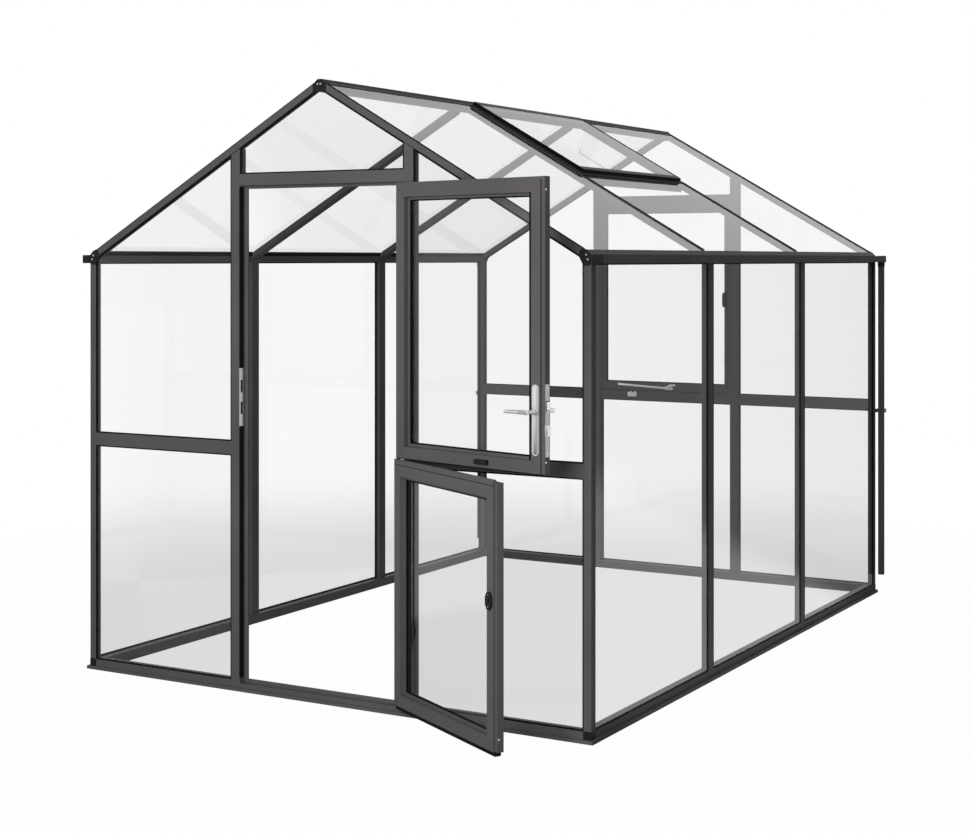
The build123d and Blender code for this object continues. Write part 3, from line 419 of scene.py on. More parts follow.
# Tab that closes the door seal at the lock side, and fine ribs along the seal
TAB_LAP = 0.004
TAB_DEPTH = 0.016
TAB_HEIGHT = 0.012
RIB_PITCH = 0.004
RIB_HEIGHT = 0.0015
RIB_STANDS = 0.0008
seal_low, seal_high = box_in("door_seal", LOWER)
leaf_high = box_in("lower_leaf_frame", LOWER)[1]
tail = bmesh.new()
block(
    tail, (seal_high.x - TAB_LAP, seal_low.y - 0.001, seal_high.z - TAB_HEIGHT),
    (leaf_high.x - 0.002, seal_low.y + TAB_DEPTH, seal_high.z + 0.001), round_by=0.002, place=LOWER,
)
for rib in range(3):
    foot = seal_low.z + 0.003 + RIB_PITCH * rib
    block(
        tail, (seal_low.x, seal_low.y - RIB_STANDS, foot),
        (seal_high.x, seal_low.y + 0.001, foot + RIB_HEIGHT), round_by=0.0004, place=LOWER,
    )
finished(tail, "door_seal_ribs", "seal_rubber", "lower_leaf")

# ---- Cap strips of the roof -----------------------------------------------------------------
PITCH = radians(30)
POST = 0.029              # width of posts, rafters and eave beams
BAR_WIDTH = 0.050
CAP_FOOT, CAP_TOP = -0.0008, 0.0012      # of a strip, up from the plane of the roof
CAP_ROUND = 0.0008
BAR_CAP_HALF = 0.006
RAFTER_CAP_HALF = 0.0034
RAFTER_CAP_IN = 0.004     # its middle, in from the gable's face
APEX_PLATE = 0.030        # reach of the apex plate down the slope
ridge_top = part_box("ridge_cap")[1][2]
beam_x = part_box("ridge_beam")[1][0]
wall_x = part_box("roof_bars")[1][0]
bar_low, bar_high = corners(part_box("roof_bars"))
rafter_high = Vector(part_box("gable_rafters_right")[1])
slope_top, slope_foot = beam_x / cos(PITCH), wall_x / cos(PITCH)
# X down the slope, Z up from it
SLOPES = [
    Matrix.Translation((0, 0, ridge_top)) @ Matrix.Rotation(PITCH if side > 0 else pi - PITCH, 4, "Y")
    @ Matrix.Diagonal((1, 1, side, 1))
    for side in (1, -1)
]
strips = bmesh.new()
for slope in SLOPES:
    for y in (bar_low.y + BAR_WIDTH / 2, bar_high.y - BAR_WIDTH / 2):
        block(
            strips, (slope_top, y - BAR_CAP_HALF, CAP_FOOT), (slope_foot, y + BAR_CAP_HALF, CAP_TOP),
            round_by=CAP_ROUND, place=slope,
        )
    for y in (-rafter_high.y + RAFTER_CAP_IN, rafter_high.y - RAFTER_CAP_IN):
        block(
            strips, (APEX_PLATE, y - RAFTER_CAP_HALF, CAP_FOOT),
            (slope_foot, y + RAFTER_CAP_HALF, CAP_TOP), round_by=CAP_ROUND, place=slope,
        )
finished(strips, "roof_cap_strips", "seal_rubber", "frame")

VENT_SLOPE = SLOPES[0]
VENT_RIM = 0.009          # edging over the top of the vent's frame
EDGING = 0.0012           # half its thickness
EDGING_TOP = 0.0006
vent_low, vent_high = box_in("roof_vent_frame", VENT_SLOPE)
edging_top = vent_high.z + EDGING_TOP
edging = bmesh.new()
for y, rim in ((vent_low.y, vent_low.y + VENT_RIM), (vent_high.y, vent_high.y - VENT_RIM)):
    block(
        edging, (vent_low.x + 0.001, y - EDGING, 0.001), (vent_high.x, y + EDGING, edging_top),
        round_by=CAP_ROUND, place=VENT_SLOPE,
    )
    block(
        edging, (vent_low.x + 0.001, min(y, rim), vent_high.z - EDGING_TOP),
        (vent_high.x, max(y, rim), vent_high.z + 0.0009), round_by=CAP_ROUND, place=VENT_SLOPE,
    )
block(
    edging, (vent_high.x - EDGING, vent_low.y, -0.010), (vent_high.x + EDGING, vent_high.y, edging_top),
    round_by=CAP_ROUND, place=VENT_SLOPE,
)
finished(edging, "vent_edge_strips", "seal_rubber", "frame")

EAVE_BEARING = (0.029, 0.043)      # bearing of the roof glass, up from the eave beam's underside
eave_low, eave_high = corners(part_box("eave_beams"))
eave_end = rafter_high.y - POST
eave_face = eave_high.x - POST
bearings = bmesh.new()
for side in (-1, 1):
    block(
        bearings, (eave_face - 0.0008, -eave_end, eave_low.z + EAVE_BEARING[0]),
        (eave_face + 0.0005, eave_end, eave_low.z + EAVE_BEARING[1]), round_by=0.0004, place=mirrored(side),
    )
finished(bearings, "eave_bearing_strips", "seal_rubber", "frame")

TRIM_HALF = 0.0006        # half thickness of the lines along a rafter's edges
TRIM_HEIGHT = 0.0025
TRIM_ENDS = (0.034, slope_foot - 0.012)
trims = bmesh.new()
for slope in SLOPES:
    for gable in (-1, 1):
        face = gable * rafter_high.y
        for depth in (0.0, POST - TRIM_HEIGHT):
            block(
                trims, (TRIM_ENDS[0], face - TRIM_HALF, -depth - TRIM_HEIGHT),
                (TRIM_ENDS[1], face + TRIM_HALF, -depth), round_by=0.0003, place=slope,
            )
finished(trims, "rafter_edge_strips", "seal_rubber", "frame")

# ---- Gable plates, shoes and gutter ends ----------------------------------------------------
EAVE_SCREWS = ((0.018, 0.030), (0.012, 0.014))     # in from the post's outer face, up from the eave
APEX_SCREWS = (0.0065, 0.019)                      # each side of the ridge, down from its top
post_high = corners(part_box("corner_posts"))[1]
plate_low, plate_high = corners(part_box("end_plates"))
screws = bmesh.new()
for gable, face_y in ((-1, plate_low.y), (1, plate_high.y)):
    for side in (-1, 1):
        for inwards, up in EAVE_SCREWS:
            spot = (side * (post_high.x - inwards), face_y, post_high.z + up)
            turned(screws, SCREW, facing(spot, (0, gable, 0)))
        spot = (side * APEX_SCREWS[0], face_y, ridge_top - APEX_SCREWS[1])
        turned(screws, SCREW, facing(spot, (0, gable, 0)))
finished(screws, "gable_plate_screws", "satin_metal", "frame")

SHOE_FOOT, SHOE_TOP = 0.011, 0.042       # from inside the base flange to just over the base rail
SHOE_PROUD = 0.0012
SHOE_REACH = 0.031
shoes = bmesh.new()
for side in (-1, 1):
    for gable in (-1, 1):
        block(
            shoes, (post_high.x - SHOE_REACH, post_high.y - SHOE_REACH, SHOE_FOOT),
            (post_high.x + SHOE_PROUD, post_high.y + SHOE_PROUD, SHOE_TOP), round_by=0.0015,
            place=mirrored(side, gable),
        )
finished(shoes, "corner_shoes", "black_plastic", "frame")

GUTTER_CAP = 0.0015       # cap round the gutter's section
gutter_low, gutter_high = corners(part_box("gutters"))
caps = bmesh.new()
for side in (-1, 1):
    for ends in ((gutter_low.y - 0.002, gutter_low.y + 0.010), (gutter_high.y - 0.012, gutter_high.y)):
        block(
            caps, (post_high.x + 0.0003, ends[0], gutter_low.z - GUTTER_CAP),
            (gutter_high.x + GUTTER_CAP, ends[1], gutter_high.z + GUTTER_CAP),
            round_by=0.004, place=mirrored(side),
        )
finished(caps, "gutter_end_caps", "black_plastic", "frame")

# ---- Lock on the upper leaf -----------------------------------------------------------------
PANEL_INSET = 0.005       # raised panel, in from the plate's edge
PANEL_STANDS = 0.0012
PANEL_SUNK = 0.0002
plates_low, plates_high = box_in("lock_plates", UPPER)
plates_z = (plates_low.z + plates_high.z) / 2
plate_x = (plates_low.x + plates_high.x) / 2
plate_half = plates_high.x - plate_x
arm_low, arm_high = box_in("lever_handles", UPPER)
lever_z = (arm_low.z + arm_high.z) / 2
covers = bmesh.new()
for face_y, out in ((plates_low.y, -1), (plates_high.y, 1)):
    before = set(covers.verts)
    bmesh.ops.create_circle(covers, cap_ends=True, segments=32, radius=plate_half - PANEL_INSET)
    rounded = [vert for vert in covers.verts if vert not in before]
    straight = (plates_high.z - plates_low.z) / 2 - plate_half
    bmesh.ops.translate(covers, verts=[v for v in rounded if v.co.y > 0], vec=(0, straight, 0))
    bmesh.ops.translate(covers, verts=[v for v in rounded if v.co.y <= 0], vec=(0, -straight, 0))
    panel = [face for vert in rounded for face in vert.link_faces][:1]
    raised = bmesh.ops.extrude_face_region(covers, geom=panel, use_keep_orig=True)["geom"]
    bmesh.ops.translate(covers, verts=only(BMVert, raised), vec=(0, 0, PANEL_STANDS))
    bevel(covers, only(BMEdge, raised), round_by=0.0007, segments=2)
    spot = (plate_x, face_y - out * PANEL_SUNK, plates_z)
    placed(covers, before, UPPER @ facing(spot, (0, out, 0)))
    turned(covers, ROSE, UPPER @ facing((plate_x, face_y, lever_z), (0, out, 0)), steps=32)
finished(covers, "lock_panels", "satin_metal", "upper_leaf")

ARM_ROUND = 0.0065        # the arm's axis, in from the outer side of the lever
HUB = (0.016, 0.012, 0.016)
HUB_END = 0.007           # the arm's round end, past the axis
# Of each part of the arm: share of its length, height at its end, drop over it
ARM_PARTS = ((0.25, 0.0145, 0.0), (0.45, 0.0125, 0.0006), (0.30, 0.0115, 0.0004))
SPINDLE = 0.004           # half the square bar
levers = bmesh.new()
for arm_y, face_y, out in (
    (arm_low.y + ARM_ROUND, plates_low.y, -1), (arm_high.y - ARM_ROUND, plates_high.y, 1),
):
    reach = abs(arm_y - face_y)
    neck = [(0, 0.0052), (0.0088, 0.0052), (0.0082, 0.010), (0.0068, 0.018), (0.0068, reach - 0.010),
            (0.0078, reach), (0.0060, reach + 0.0050), (0, reach + 0.0062)]
    turned(levers, neck, UPPER @ facing((plate_x, face_y, lever_z), (0, out, 0)))
    before = set(levers.verts)
    hub_size = Matrix.Diagonal((*HUB, 1.0))
    bmesh.ops.create_cube(levers, size=1.0, matrix=Matrix.Translation((plate_x, arm_y, lever_z)) @ hub_size)
    hub_faces = {face for vert in levers.verts if vert not in before for face in vert.link_faces}
    tip_face = min(hub_faces, key=lambda face: face.calc_center_median().x)
    length = tip_face.calc_center_median().x - arm_low.x
    for share, tall, drop in ARM_PARTS:
        grown = bmesh.ops.extrude_face_region(levers, geom=[tip_face])["geom"]
        tip, tip_face = only(BMVert, grown), only(BMFace, grown)[0]
        now = max(vert.co.z for vert in tip) - min(vert.co.z for vert in tip)
        middle = Matrix.Translation(-tip_face.calc_center_median())
        bmesh.ops.scale(levers, verts=tip, vec=(1.0, 0.95, tall / now), space=middle)
        bmesh.ops.translate(levers, verts=tip, vec=(-length * share, 0.0, -drop))
    arm_edges = [
        edge for edge in new_edges(levers, before)
        if abs((edge.verts[0].co - edge.verts[1].co).normalized().x) > 0.9     # along the arm
        or len({*edge.verts} & {*tip}) == 2                                    # round its tip
        or min(vert.co.x for vert in edge.verts) > plate_x + HUB_END
    ]
    bevel(levers, arm_edges, round_by=0.0042, segments=4)
    placed(levers, before, UPPER)
block(
    levers, (plate_x - SPINDLE, plates_low.y - SPINDLE, lever_z - SPINDLE),
    (plate_x + SPINDLE, plates_high.y + SPINDLE, lever_z + SPINDLE), round_by=0.0005, place=UPPER,
)
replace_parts(finished(levers, "levers", "satin_metal", "lever"), "lever_handles")

FACEPLATE = 0.0045        # the lock strip's own face, in from its bolts' ends
LATCH = (1.150, 1.178)    # heights of foot and top, as for the deadbolt
DEADBOLT = (1.064, 1.100)
BOLT_REACH = 0.003
LATCH_HALF, GUARD_HALF, BOLT_HALF = 0.007, 0.0045, 0.008
NOSE_CHAMFER = 0.004      # on the side that meets the strike plate first
STRIP_SCREW_IN = 0.012
strip_low, strip_high = box_in("lock_faceplate", UPPER)
strip_x = strip_high.x - FACEPLATE
strip_mid = (strip_low.y + strip_high.y) / 2
case = bmesh.new()
block(case, strip_low, (strip_x, strip_high.y, strip_high.z), round_by=0.0008, place=UPPER)
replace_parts(finished(case, "lock_strip", "satin_metal", "upper_leaf", zinc), "lock_faceplate")

bolts = bmesh.new()
for z in (strip_low.z + STRIP_SCREW_IN, strip_high.z - STRIP_SCREW_IN):
    turned(bolts, SCREW, UPPER @ facing((strip_x, strip_mid, z), (1, 0, 0)))
latch = block(
    bolts, (strip_low.x, strip_mid - LATCH_HALF, LATCH[0]),
    (strip_high.x + BOLT_REACH, strip_mid + LATCH_HALF, LATCH[1]), round_by=0.0012,
)
nose = [vert for vert in latch if vert.co.x > strip_x and vert.co.y < strip_mid]
bmesh.ops.translate(bolts, verts=nose, vec=(-NOSE_CHAMFER, 0, 0))
bmesh.ops.transform(bolts, matrix=UPPER, verts=latch)
block(
    bolts, (strip_low.x, strip_mid - GUARD_HALF, LATCH[0] - 0.009),
    (strip_high.x - 0.001, strip_mid + GUARD_HALF, LATCH[0] - 0.003), round_by=0.001, place=UPPER,
)
block(
    bolts, (strip_low.x, strip_low.y - 0.0004, DEADBOLT[0]),
    (strip_x + 0.0006, strip_high.y + 0.0004, DEADBOLT[1]), round_by=0.0005, place=UPPER,
)
block(
    bolts, (strip_low.x, strip_mid - BOLT_HALF, DEADBOLT[0] + 0.002),
    (strip_high.x + BOLT_REACH, strip_mid + BOLT_HALF, DEADBOLT[1] - 0.002), round_by=0.0014, place=UPPER,
)
finished(bolts, "lock_bolts", "satin_metal", "upper_leaf")

# Painted shade: a black sheet on the lock strip round the latch, for the shaded opening it comes out of
mouth_shade = bmesh.new()
block(
    mouth_shade, (strip_x - 0.001, strip_low.y + 0.001, LATCH[0] - 0.002),
    (strip_x + 0.0005, strip_mid + BOLT_HALF + 0.0005, LATCH[1] + 0.003), round_by=0.0004, place=UPPER,
)
finished(mouth_shade, "latch_mouth_shade", "black_plastic", "upper_leaf")

# ---- Strike plate, brush and stops ----------------------------------------------------------
POCKET_HALF = (0.0062, 0.0237)     # half its width and half its height
POCKETS_APART = 0.083
keep_low, keep_high = corners(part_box("strike_plate"))
keep_y, keep_z = (keep_low.y + keep_high.y) / 2, (keep_low.z + keep_high.z) / 2
# Painted shade: black sheets on the strike plate, for the shaded hollows of its two slots
pocket_shade = bmesh.new()
for z in (keep_z - POCKETS_APART / 2, keep_z + POCKETS_APART / 2):
    block(
        pocket_shade, (keep_low.x, keep_y - POCKET_HALF[0], z - POCKET_HALF[1]),
        (keep_low.x + 0.0006, keep_y + POCKET_HALF[0], z + POCKET_HALF[1]), round_by=0.0002,
    )
finished(pocket_shade, "strike_pocket_shade", "black_plastic", "frame")

DOOR_SEAL_ENDS = (0.050, 1.925)
brush = bmesh.new()
for foot, top in ((DOOR_SEAL_ENDS[0], keep_low.z), (keep_high.z, DOOR_SEAL_ENDS[1])):
    block(
        brush, (keep_low.x - 0.0003, keep_low.y, foot), (keep_high.x + 0.0003, keep_high.y, top),
        round_by=0.0003,
    )
finished(brush, "jamb_brush_strip", "seal_rubber", "frame")

STOP_WIDTH = 0.015
STOP_SEAL = 0.002
stop_low, stop_high = corners(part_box("window_stops"))
stop_seals = bmesh.new()
for side in (-1, 1):
    for x in (stop_high.x - 0.0012, stop_high.x - STOP_WIDTH - 0.0008):
        ends = sorted((side * x, side * (x + STOP_SEAL)))
        block(
            stop_seals, (ends[0], stop_low.y - 0.0006, stop_low.z),
            (ends[1], stop_low.y + 0.001, stop_high.z), round_by=0.0003,
        )
finished(stop_seals, "window_stop_seals", "seal_rubber", "frame")

# ---- Screws of the leaves, and their painted shade: black strips and joint lines -------------
LEAF_BAR = 0.042          # visible width of a leaf's profile
LEAF_LIP = 0.015          # lip past the inner face, at the lock edge
HINGE_EDGE = 0.006        # inner face to the hinge line
SCREW_IN = 0.012          # screws of the lock edge, out from the inner face
UPPER_FACE_TOP = box_in("upper_leaf_frame", UPPER)[1].z - 0.0105
LOWER_FACE_TOP = 0.915
MITRE_HALF = 0.0004       # half width of a joint line, drawn black as painted shade of its hairline gap
for body, place, node, screw_heights, face_top in (
    ("upper_leaf", UPPER, "upper_leaf_frame", (0.977, 1.880), UPPER_FACE_TOP),
    ("lower_leaf", LOWER, "lower_leaf_frame", (0.092,), LOWER_FACE_TOP),
):
    low, high = box_in(node, place)
    face_end = high.x - LEAF_LIP
    fixings = bmesh.new()
    for z in screw_heights:
        turned(fixings, SCREW, place @ facing((high.x, low.y + SCREW_IN, z), (1, 0, 0)))
    finished(fixings, f"{body}_edge_screws", "satin_metal", body)
    shade_block = bmesh.new()
    # Painted shade: black strips that stand in for shade on the leaves, not seals
    if body == "lower_leaf":
        # Painted shade: a thin black line along the top of the lower leaf's lip, for its shaded groove
        block(
            shade_block, (HINGE_EDGE, low.y - 0.0002, face_top - 0.0025),
            (face_end, low.y + 0.0018, face_top), round_by=0.0003, place=place,
        )
    else:
        # Painted shade: a black strip under the upper leaf's bottom rail, for the shadow beneath it
        block(
            shade_block, (HINGE_EDGE, low.y + 0.0005, low.z - 0.004),
            (face_end, high.y - 0.001, low.z + 0.0002), round_by=0.001, place=place,
        )
        # Painted shade: a black band at the lock side of the upper leaf's glass opening, for the shaded side wall
        # of its bead
        edge = face_end - LEAF_BAR                # lock side of the leaf's opening
        block(
            shade_block, (edge - 0.010, low.y + 0.001, low.z + LEAF_BAR),
            (edge + 0.0002, low.y + 0.006, face_top - LEAF_BAR), round_by=0.001, place=place,
        )
    finished(shade_block, f"{body}_painted_shade_strips", "seal_rubber", body)
    # Painted shade: black lines across the corners, for the shaded hairline gaps of the mitre joints
    mitre_shade = bmesh.new()
    for x, turn_x in ((HINGE_EDGE, 1), (face_end, -1)):
        for z, turn_z in ((low.z, 1), (face_top, -1)):
            slant = Matrix.Rotation(-radians(45) * turn_x * turn_z, 4, "Y")
            span = sorted((0.002 * turn_x, LEAF_BAR * 2 ** 0.5 * turn_x))
            block(
                mitre_shade, (span[0], -0.0002, -MITRE_HALF), (span[1], 0.0004, MITRE_HALF), round_by=0.0001,
                place=place @ Matrix.Translation((x, low.y, z)) @ slant,
            )
    finished(mitre_shade, f"{body}_mitre_shade_lines", "seal_rubber", body)

# ---- Catches and knuckle caps ---------------------------------------------------------------
LATCH_SPAN = (0.0175, 0.0285)                       # half width and half height
KNOB_STANDS = 0.003
KNOB_UP = 0.004
EIGHTH = radians(22.5)    # half the angle that a side of the octagon takes up
catch_low, catch_high = box_in("turn_latch", LOWER)
catch = (catch_low + catch_high) / 2
deep = catch_high.y - catch_low.y - KNOB_STANDS
turn = bmesh.new()
bmesh.ops.create_circle(turn, cap_ends=True, segments=8, radius=1.0)
bmesh.ops.rotate(turn, verts=turn.verts, matrix=Matrix.Rotation(EIGHTH, 3, "Z"))
bmesh.ops.scale(turn, verts=turn.verts, vec=(*(half / cos(EIGHTH) for half in LATCH_SPAN), 1.0))
grown = bmesh.ops.extrude_face_region(turn, geom=list(turn.faces), use_keep_orig=True)["geom"]
bmesh.ops.translate(turn, verts=only(BMVert, grown), vec=(0, 0, deep))
bevel(turn, only(BMEdge, grown), round_by=0.0015, segments=2)
dish = [max((face for face in turn.faces if face.normal.z > 0.99), key=lambda face: face.calc_area())]
bmesh.ops.inset_region(turn, faces=dish, thickness=0.0025, use_boundary=True, use_even_offset=True)
bmesh.ops.inset_region(
    turn, faces=dish, thickness=0.001, depth=-0.0022, use_boundary=True, use_even_offset=True,
)
turned(turn, KNOB, Matrix.Translation((0, KNOB_UP, deep)))
placed(turn, set(), LOWER @ facing((catch.x, catch_high.y, catch.z), (0, -1, 0)))
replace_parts(finished(turn, "turn_latch_body", "black_plastic", "lower_leaf"), "turn_latch")

fixings = bmesh.new()
for z in (catch.z - 0.0195, catch.z + 0.0205):
    spot = (catch.x, catch_high.y - deep + 0.002, z)
    turned(fixings, SCREW, LOWER @ facing(spot, (0, -1, 0)) @ Matrix.Scale(0.6, 4))
finished(fixings, "turn_latch_screws", "satin_metal", "lower_leaf")

KNUCKLE = 0.030
for body, node, place in (
    ("upper_leaf", "upper_leaf_hinges", UPPER), ("lower_leaf", "lower_leaf_hinges", LOWER),
):
    low, high = box_in(node, place)
    pin_caps = bmesh.new()
    for z in (low.z + KNUCKLE, high.z):
        turned(pin_caps, PIN_CAP, place @ Matrix.Translation((0, 0, z)))
    finished(pin_caps, f"{node}_caps", "black_plastic", body)

# ---- Stays of the window and the vent -------------------------------------------------------
STAY_TILT = radians(2.8)
STAY_HALF = 0.005
STAY_THICK = 0.004
STAY_LEGS = ((0.020, 0, 0.016), (0.012, 0, 0.002), (0.022, 0, 0.0))     # its cranked end
STUDS = 4
STUD_START, STUD_PITCH = -0.06, -0.05
stay_low, stay_high = corners(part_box("window_stay"))
pivot = Vector((stay_high.x - STAY_HALF, stay_low.y, (stay_low.z + stay_high.z) / 2))
stay = bmesh.new()
swept(
    stay, ((stay_low.x - pivot.x, 0.0, -STAY_HALF), (0.0, STAY_THICK, STAY_HALF)), STAY_LEGS,
    Matrix.Translation(pivot) @ Matrix.Rotation(STAY_TILT, 4, "Y"),
)
turned(stay, PIVOT, facing((pivot.x, stay_high.y + 0.0005, pivot.z), (0, -1, 0)))
block(
    stay, (pivot.x - 0.012, sash_low.y - 0.003, pivot.z - 0.010),
    (pivot.x + 0.030, sash_low.y + 0.0005, pivot.z + 0.008), round_by=0.0012,
)
for stud in range(STUDS):
    along = STUD_START + STUD_PITCH * stud
    spot = Vector((pivot.x + along * cos(STAY_TILT), pivot.y, pivot.z - along * sin(STAY_TILT)))
    turned(stay, STUD, facing(spot, (0, -1, 0)), steps=12)
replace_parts(finished(stay, "window_stay_arm", "satin_metal", "frame"), "window_stay")

RAIL_WIDTH, RAIL_HEIGHT = 0.004, 0.005     # the two long rails of the vent's stay
RAIL_START = 0.012
RUNG = 0.008
RUNG_STEPS = (RAIL_START, 0.090, 0.165)
HOOK_HALF = (0.0045, 0.0015)               # half width and half thickness of its hooked end
stay_low, stay_high = box_in("vent_stay", VENT_SLOPE)
stay_y = (stay_low.y + stay_high.y) / 2
vent_arm = bmesh.new()
for y in (stay_low.y, stay_high.y - RAIL_WIDTH):
    block(
        vent_arm, (stay_low.x + RAIL_START, y, stay_low.z),
        (stay_high.x - 0.002, y + RAIL_WIDTH, stay_low.z + RAIL_HEIGHT), round_by=0.001, place=VENT_SLOPE,
    )
for x in (*(stay_low.x + step for step in RUNG_STEPS), stay_high.x - 0.010):
    block(
        vent_arm, (x, stay_low.y + 0.001, stay_low.z + 0.001),
        (x + RUNG, stay_high.y - 0.001, stay_low.z + RAIL_HEIGHT - 0.001), round_by=0.0008, place=VENT_SLOPE,
    )
hook_spot = Matrix.Translation((stay_low.x + 0.018, stay_y, stay_low.z + 0.003))
swept(
    vent_arm, ((-0.020, -HOOK_HALF[0], -HOOK_HALF[1]), (0.0, *HOOK_HALF)),
    ((0.008, 0, 0.010), (-0.004, 0, 0.012)), VENT_SLOPE @ hook_spot @ Matrix.Rotation(pi, 4, "Z"),
)
pin_spot = Matrix.Translation((stay_high.x - 0.006, stay_y, stay_low.z + 0.002))
turned(vent_arm, VENT_PIN, VENT_SLOPE @ pin_spot, steps=16)
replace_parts(finished(vent_arm, "vent_stay_arm", "satin_metal", "frame"), "vent_stay")

PEG_FINS = (0.010, 0.002, 0.006, 0.0)      # top of each fin, down from the peg's top
peg_low, peg_high = corners(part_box("stay_peg"))
fin_pitch = (peg_high.x - peg_low.x) / len(PEG_FINS)
peg = bmesh.new()
block(
    peg, (peg_low.x, peg_low.y + 0.004, peg_low.z), (peg_high.x, peg_high.y, peg_high.z - 0.008),
    round_by=0.002,
)
for index, drop in enumerate(PEG_FINS):
    x = peg_low.x + fin_pitch * index
    block(
        peg, (x + 0.0015, peg_low.y, peg_low.z + 0.004),
        (x + fin_pitch - 0.003, peg_low.y + 0.012, peg_high.z - drop), round_by=0.0018,
    )
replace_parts(finished(peg, "window_stay_peg", "satin_metal", "frame"), "stay_peg")

HANDLE_FOOT = (0.003, 0.004, 0.006)        # foot plate round the handle, and its thickness
handle_low, handle_high = corners(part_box("window_handle"))
handle_middle = (handle_low + handle_high) / 2
handle = bmesh.new()
block(
    handle, (handle_low.x - HANDLE_FOOT[0], handle_high.y - HANDLE_FOOT[1], handle_low.z - HANDLE_FOOT[2]),
    (handle_high.x + HANDLE_FOOT[0], handle_high.y + 0.0005, handle_high.z + HANDLE_FOOT[2]),
    round_by=0.0018,
)
turned(handle, GRIP_ROSE, facing((handle_middle.x, handle_low.y + 0.0005, handle_middle.z), (0, -1, 0)))
finished(handle, "window_handle_plate", "black_plastic", "frame")

# ---- Downpipe clips and gutter spigots ------------------------------------------------------
EAR_IN = 0.005            # bolt, in from the clip's outer end
PIPE_RADIUS = 0.0155
clip_low, clip_high = corners(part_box("pipe_clips"))
pipe_low, pipe_high = corners(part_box("downpipes"))
pipe_x = pipe_high.x - PIPE_RADIUS
pipe_y = (pipe_low.y + pipe_high.y) / 2
ears = bmesh.new()
for side in (-1, 1):
    bolt = (side * (clip_high.x - EAR_IN), pipe_y, (clip_low.z + clip_high.z) / 2)
    for way in (-1, 1):
        turned(ears, CLIP_BOLT, facing(bolt, (0, way, 0)), steps=6)
finished(ears, "pipe_clip_bolts", "satin_metal", "frame")

sockets = bmesh.new()
for side in (-1, 1):
    before = set(sockets.verts)
    points = [sockets.verts.new((radius, 0.0, height)) for radius, height in SOCKET]
    loop = [sockets.edges.new(pair) for pair in zip(points, points[1:] + points[:1])]
    spun(sockets, points, loop, steps=32)
    placed(sockets, before, Matrix.Translation((side * pipe_x, pipe_y, gutter_low.z - 0.0002)))
finished(sockets, "gutter_spigots", "black_plastic", "frame")

# ---- Floor and backdrop ---------------------------------------------------------------------
THROUGH_GLASS = 0.76      # painted shade: whiteness of the floor indoors once a pane lies in front of it
DIM = 0.28                # what upright panes mirror of the studio
AMBIENT = 0.15            # share of the dome that lights matt surfaces
SMOOTH = {"interpolation_type": "SMOOTHSTEP"}
BESIDE = {"From Min": 0.61, "From Max": 0.72, **SMOOTH}     # white reflectors on either hand
FLOOR_HALF = 40.0


def seen_directly(tree):
    """1 for what the camera sees straight or through glass, else 0."""
    path = add(tree, "ShaderNodeLightPath").outputs
    shown = add(
        tree, "ShaderNodeMath", {"operation": "MAXIMUM"},
        _0=path["Is Camera Ray"], _1=path["Is Transmission Ray"],
    )
    return shown.outputs["Value"]


def white_floor():
    """Grey studio floor that takes the shadow and shows white to the camera.

    Indoors, through a pane, it shows a little darker: painted shade. Panes mirror it as dim as the dome there.
    """
    made, tree, out = material("white_floor")
    paper = add(tree, "ShaderNodeBsdfDiffuse", {"Color": linear("#646464")})
    glow = add(tree, "ShaderNodeEmission", {"Color": linear("#ffffff")})
    place = add(tree, "ShaderNodeTexCoord").outputs["Object"]
    reach = add(tree, "ShaderNodeVectorMath", {"operation": "LENGTH"}, _0=place)
    fade = add(
        tree, "ShaderNodeMapRange",
        {"From Min": 2.0, "From Max": 4.5, "To Min": 0.985, "To Max": 1.0, **SMOOTH},
        Value=reach.outputs["Value"],
    )
    heading = add(tree, "ShaderNodeVectorMath", {"operation": "NORMALIZE"}, _0=place)
    bearing = add(tree, "ShaderNodeSeparateXYZ", Vector=heading.outputs["Vector"])
    aside = add(tree, "ShaderNodeMath", {"operation": "ABSOLUTE"}, _0=bearing.outputs["X"])
    sheen = add(
        tree, "ShaderNodeMapRange", {**BESIDE, "To Min": DIM, "To Max": 0.95},
        Value=aside.outputs["Value"],
    )
    path = add(tree, "ShaderNodeLightPath").outputs
    reflected = add(
        tree, "ShaderNodeMath", {"operation": "MULTIPLY"},
        _0=sheen.outputs["Result"], _1=path["Is Glossy Ray"],
    )
    # Painted shade: the floor darker within the house, where it is seen through a pane
    indoors = add(
        tree, "ShaderNodeMapRange",
        {"From Min": 1.6, "From Max": 6.0, "To Min": THROUGH_GLASS, "To Max": 1.0, **SMOOTH},
        Value=reach.outputs["Value"],
    )
    dimmed = add(
        tree, "ShaderNodeMapRange", {"To Min": 1.0},
        Value=path["Transparent Depth"], To_Max=indoors.outputs["Result"],
    )
    tree.links.new(dimmed.outputs["Result"], glow.inputs["Strength"])
    shown = add(
        tree, "ShaderNodeMath", {"operation": "MAXIMUM"},
        _0=seen_directly(tree), _1=reflected.outputs["Value"],
    )
    share = add(
        tree, "ShaderNodeMath", {"operation": "MULTIPLY"},
        _0=fade.outputs["Result"], _1=shown.outputs["Value"],
    )
    both = add(
        tree, "ShaderNodeMixShader",
        Fac=share.outputs["Value"], _1=paper.outputs["BSDF"], _2=glow.outputs["Emission"],
    )
    tree.links.new(both.outputs["Shader"], out.inputs["Surface"])
    return made


ground = bmesh.new()
bmesh.ops.create_grid(ground, x_segments=1, y_segments=1, size=FLOOR_HALF)
floor_mesh = bpy.data.meshes.new("floor")
ground.to_mesh(floor_mesh)
ground.free()
floor = bpy.data.objects.new("floor", floor_mesh)
scene.collection.objects.link(floor)
floor_mesh.materials.append(white_floor())

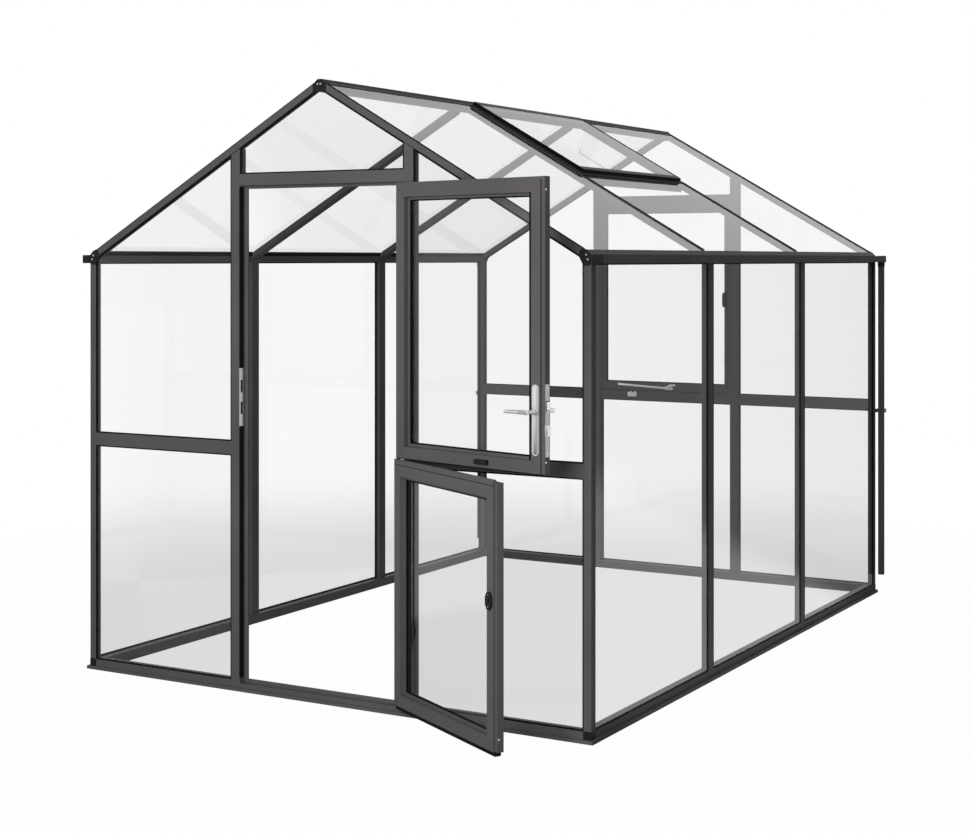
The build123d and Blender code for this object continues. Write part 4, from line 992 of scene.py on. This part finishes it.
world = bpy.data.worlds.new("studio")
scene.world = world
world.use_nodes = True
sky = world.node_tree
sky.nodes.clear()
direction = add(sky, "ShaderNodeTexCoord").outputs["Generated"]
axes = add(sky, "ShaderNodeSeparateXYZ", Vector=direction)
overhead = add(
    sky, "ShaderNodeMapRange",
    {"From Min": 0.03, "From Max": 0.22, "To Min": DIM, "To Max": 0.9, **SMOOTH},
    Value=axes.outputs["Z"],
)
aside = add(sky, "ShaderNodeMath", {"operation": "ABSOLUTE"}, _0=axes.outputs["X"])
beside = add(
    sky, "ShaderNodeMapRange", {**BESIDE, "To Min": 0.0, "To Max": 1.0}, Value=aside.outputs["Value"],
)
dome = add(
    sky, "ShaderNodeMath", {"operation": "MAXIMUM"},
    _0=overhead.outputs["Result"], _1=beside.outputs["Result"],
)
mirrors = add(sky, "ShaderNodeLightPath").outputs["Is Glossy Ray"]
softened = add(sky, "ShaderNodeMapRange", {"To Min": AMBIENT, "To Max": 1.0}, Value=mirrors)
around = add(
    sky, "ShaderNodeMath", {"operation": "MULTIPLY"},
    _0=dome.outputs["Value"], _1=softened.outputs["Result"],
)
direct = add(
    sky, "ShaderNodeMath", {"operation": "MAXIMUM"}, _0=around.outputs["Value"], _1=seen_directly(sky),
)
backdrop = add(
    sky, "ShaderNodeBackground", {"Color": linear("#ffffff")}, Strength=direct.outputs["Value"],
)
sky_out = sky.nodes.new("ShaderNodeOutputWorld")
sky.links.new(backdrop.outputs["Background"], sky_out.inputs["Surface"])


def area_lamp(name, place, aim, size, power):
    """Large soft lamp that faces a point."""
    lamp = bpy.data.lights.new(name, "AREA")
    lamp.shape = "RECTANGLE"
    lamp.size, lamp.size_y = size
    lamp.energy = power
    holder = bpy.data.objects.new(name, lamp)
    holder.location = place
    holder.rotation_euler = (Vector(aim) - Vector(place)).to_track_quat("-Z", "Y").to_euler()
    holder.visible_glossy = False
    scene.collection.objects.link(holder)


area_lamp("key_lamp", (1.1, -5.8, 2.0), (0.2, 0.0, 1.0), (2.2, 2.5), 212.0)
area_lamp("back_lamp", (-4.5, 7.0, 3.0), (0.0, 0.0, 1.0), (3.0, 3.0), 420.0)

# ---- Camera ---------------------------------------------------------------------------------
camera_data = bpy.data.cameras.new("camera")
camera_data.sensor_width = 36.0
camera_data.lens = 65.49
camera_data.shift_x = 0.0007
camera_data.shift_y = -0.1624
camera = bpy.data.objects.new("camera", camera_data)
camera.location = (3.794, -6.961, 1.65)
camera.rotation_euler = (radians(90), 0.0, radians(29.85))
scene.collection.objects.link(camera)
scene.camera = camera

scene.view_settings.view_transform = "Standard"
scene.cycles.transparent_max_bounces = 48
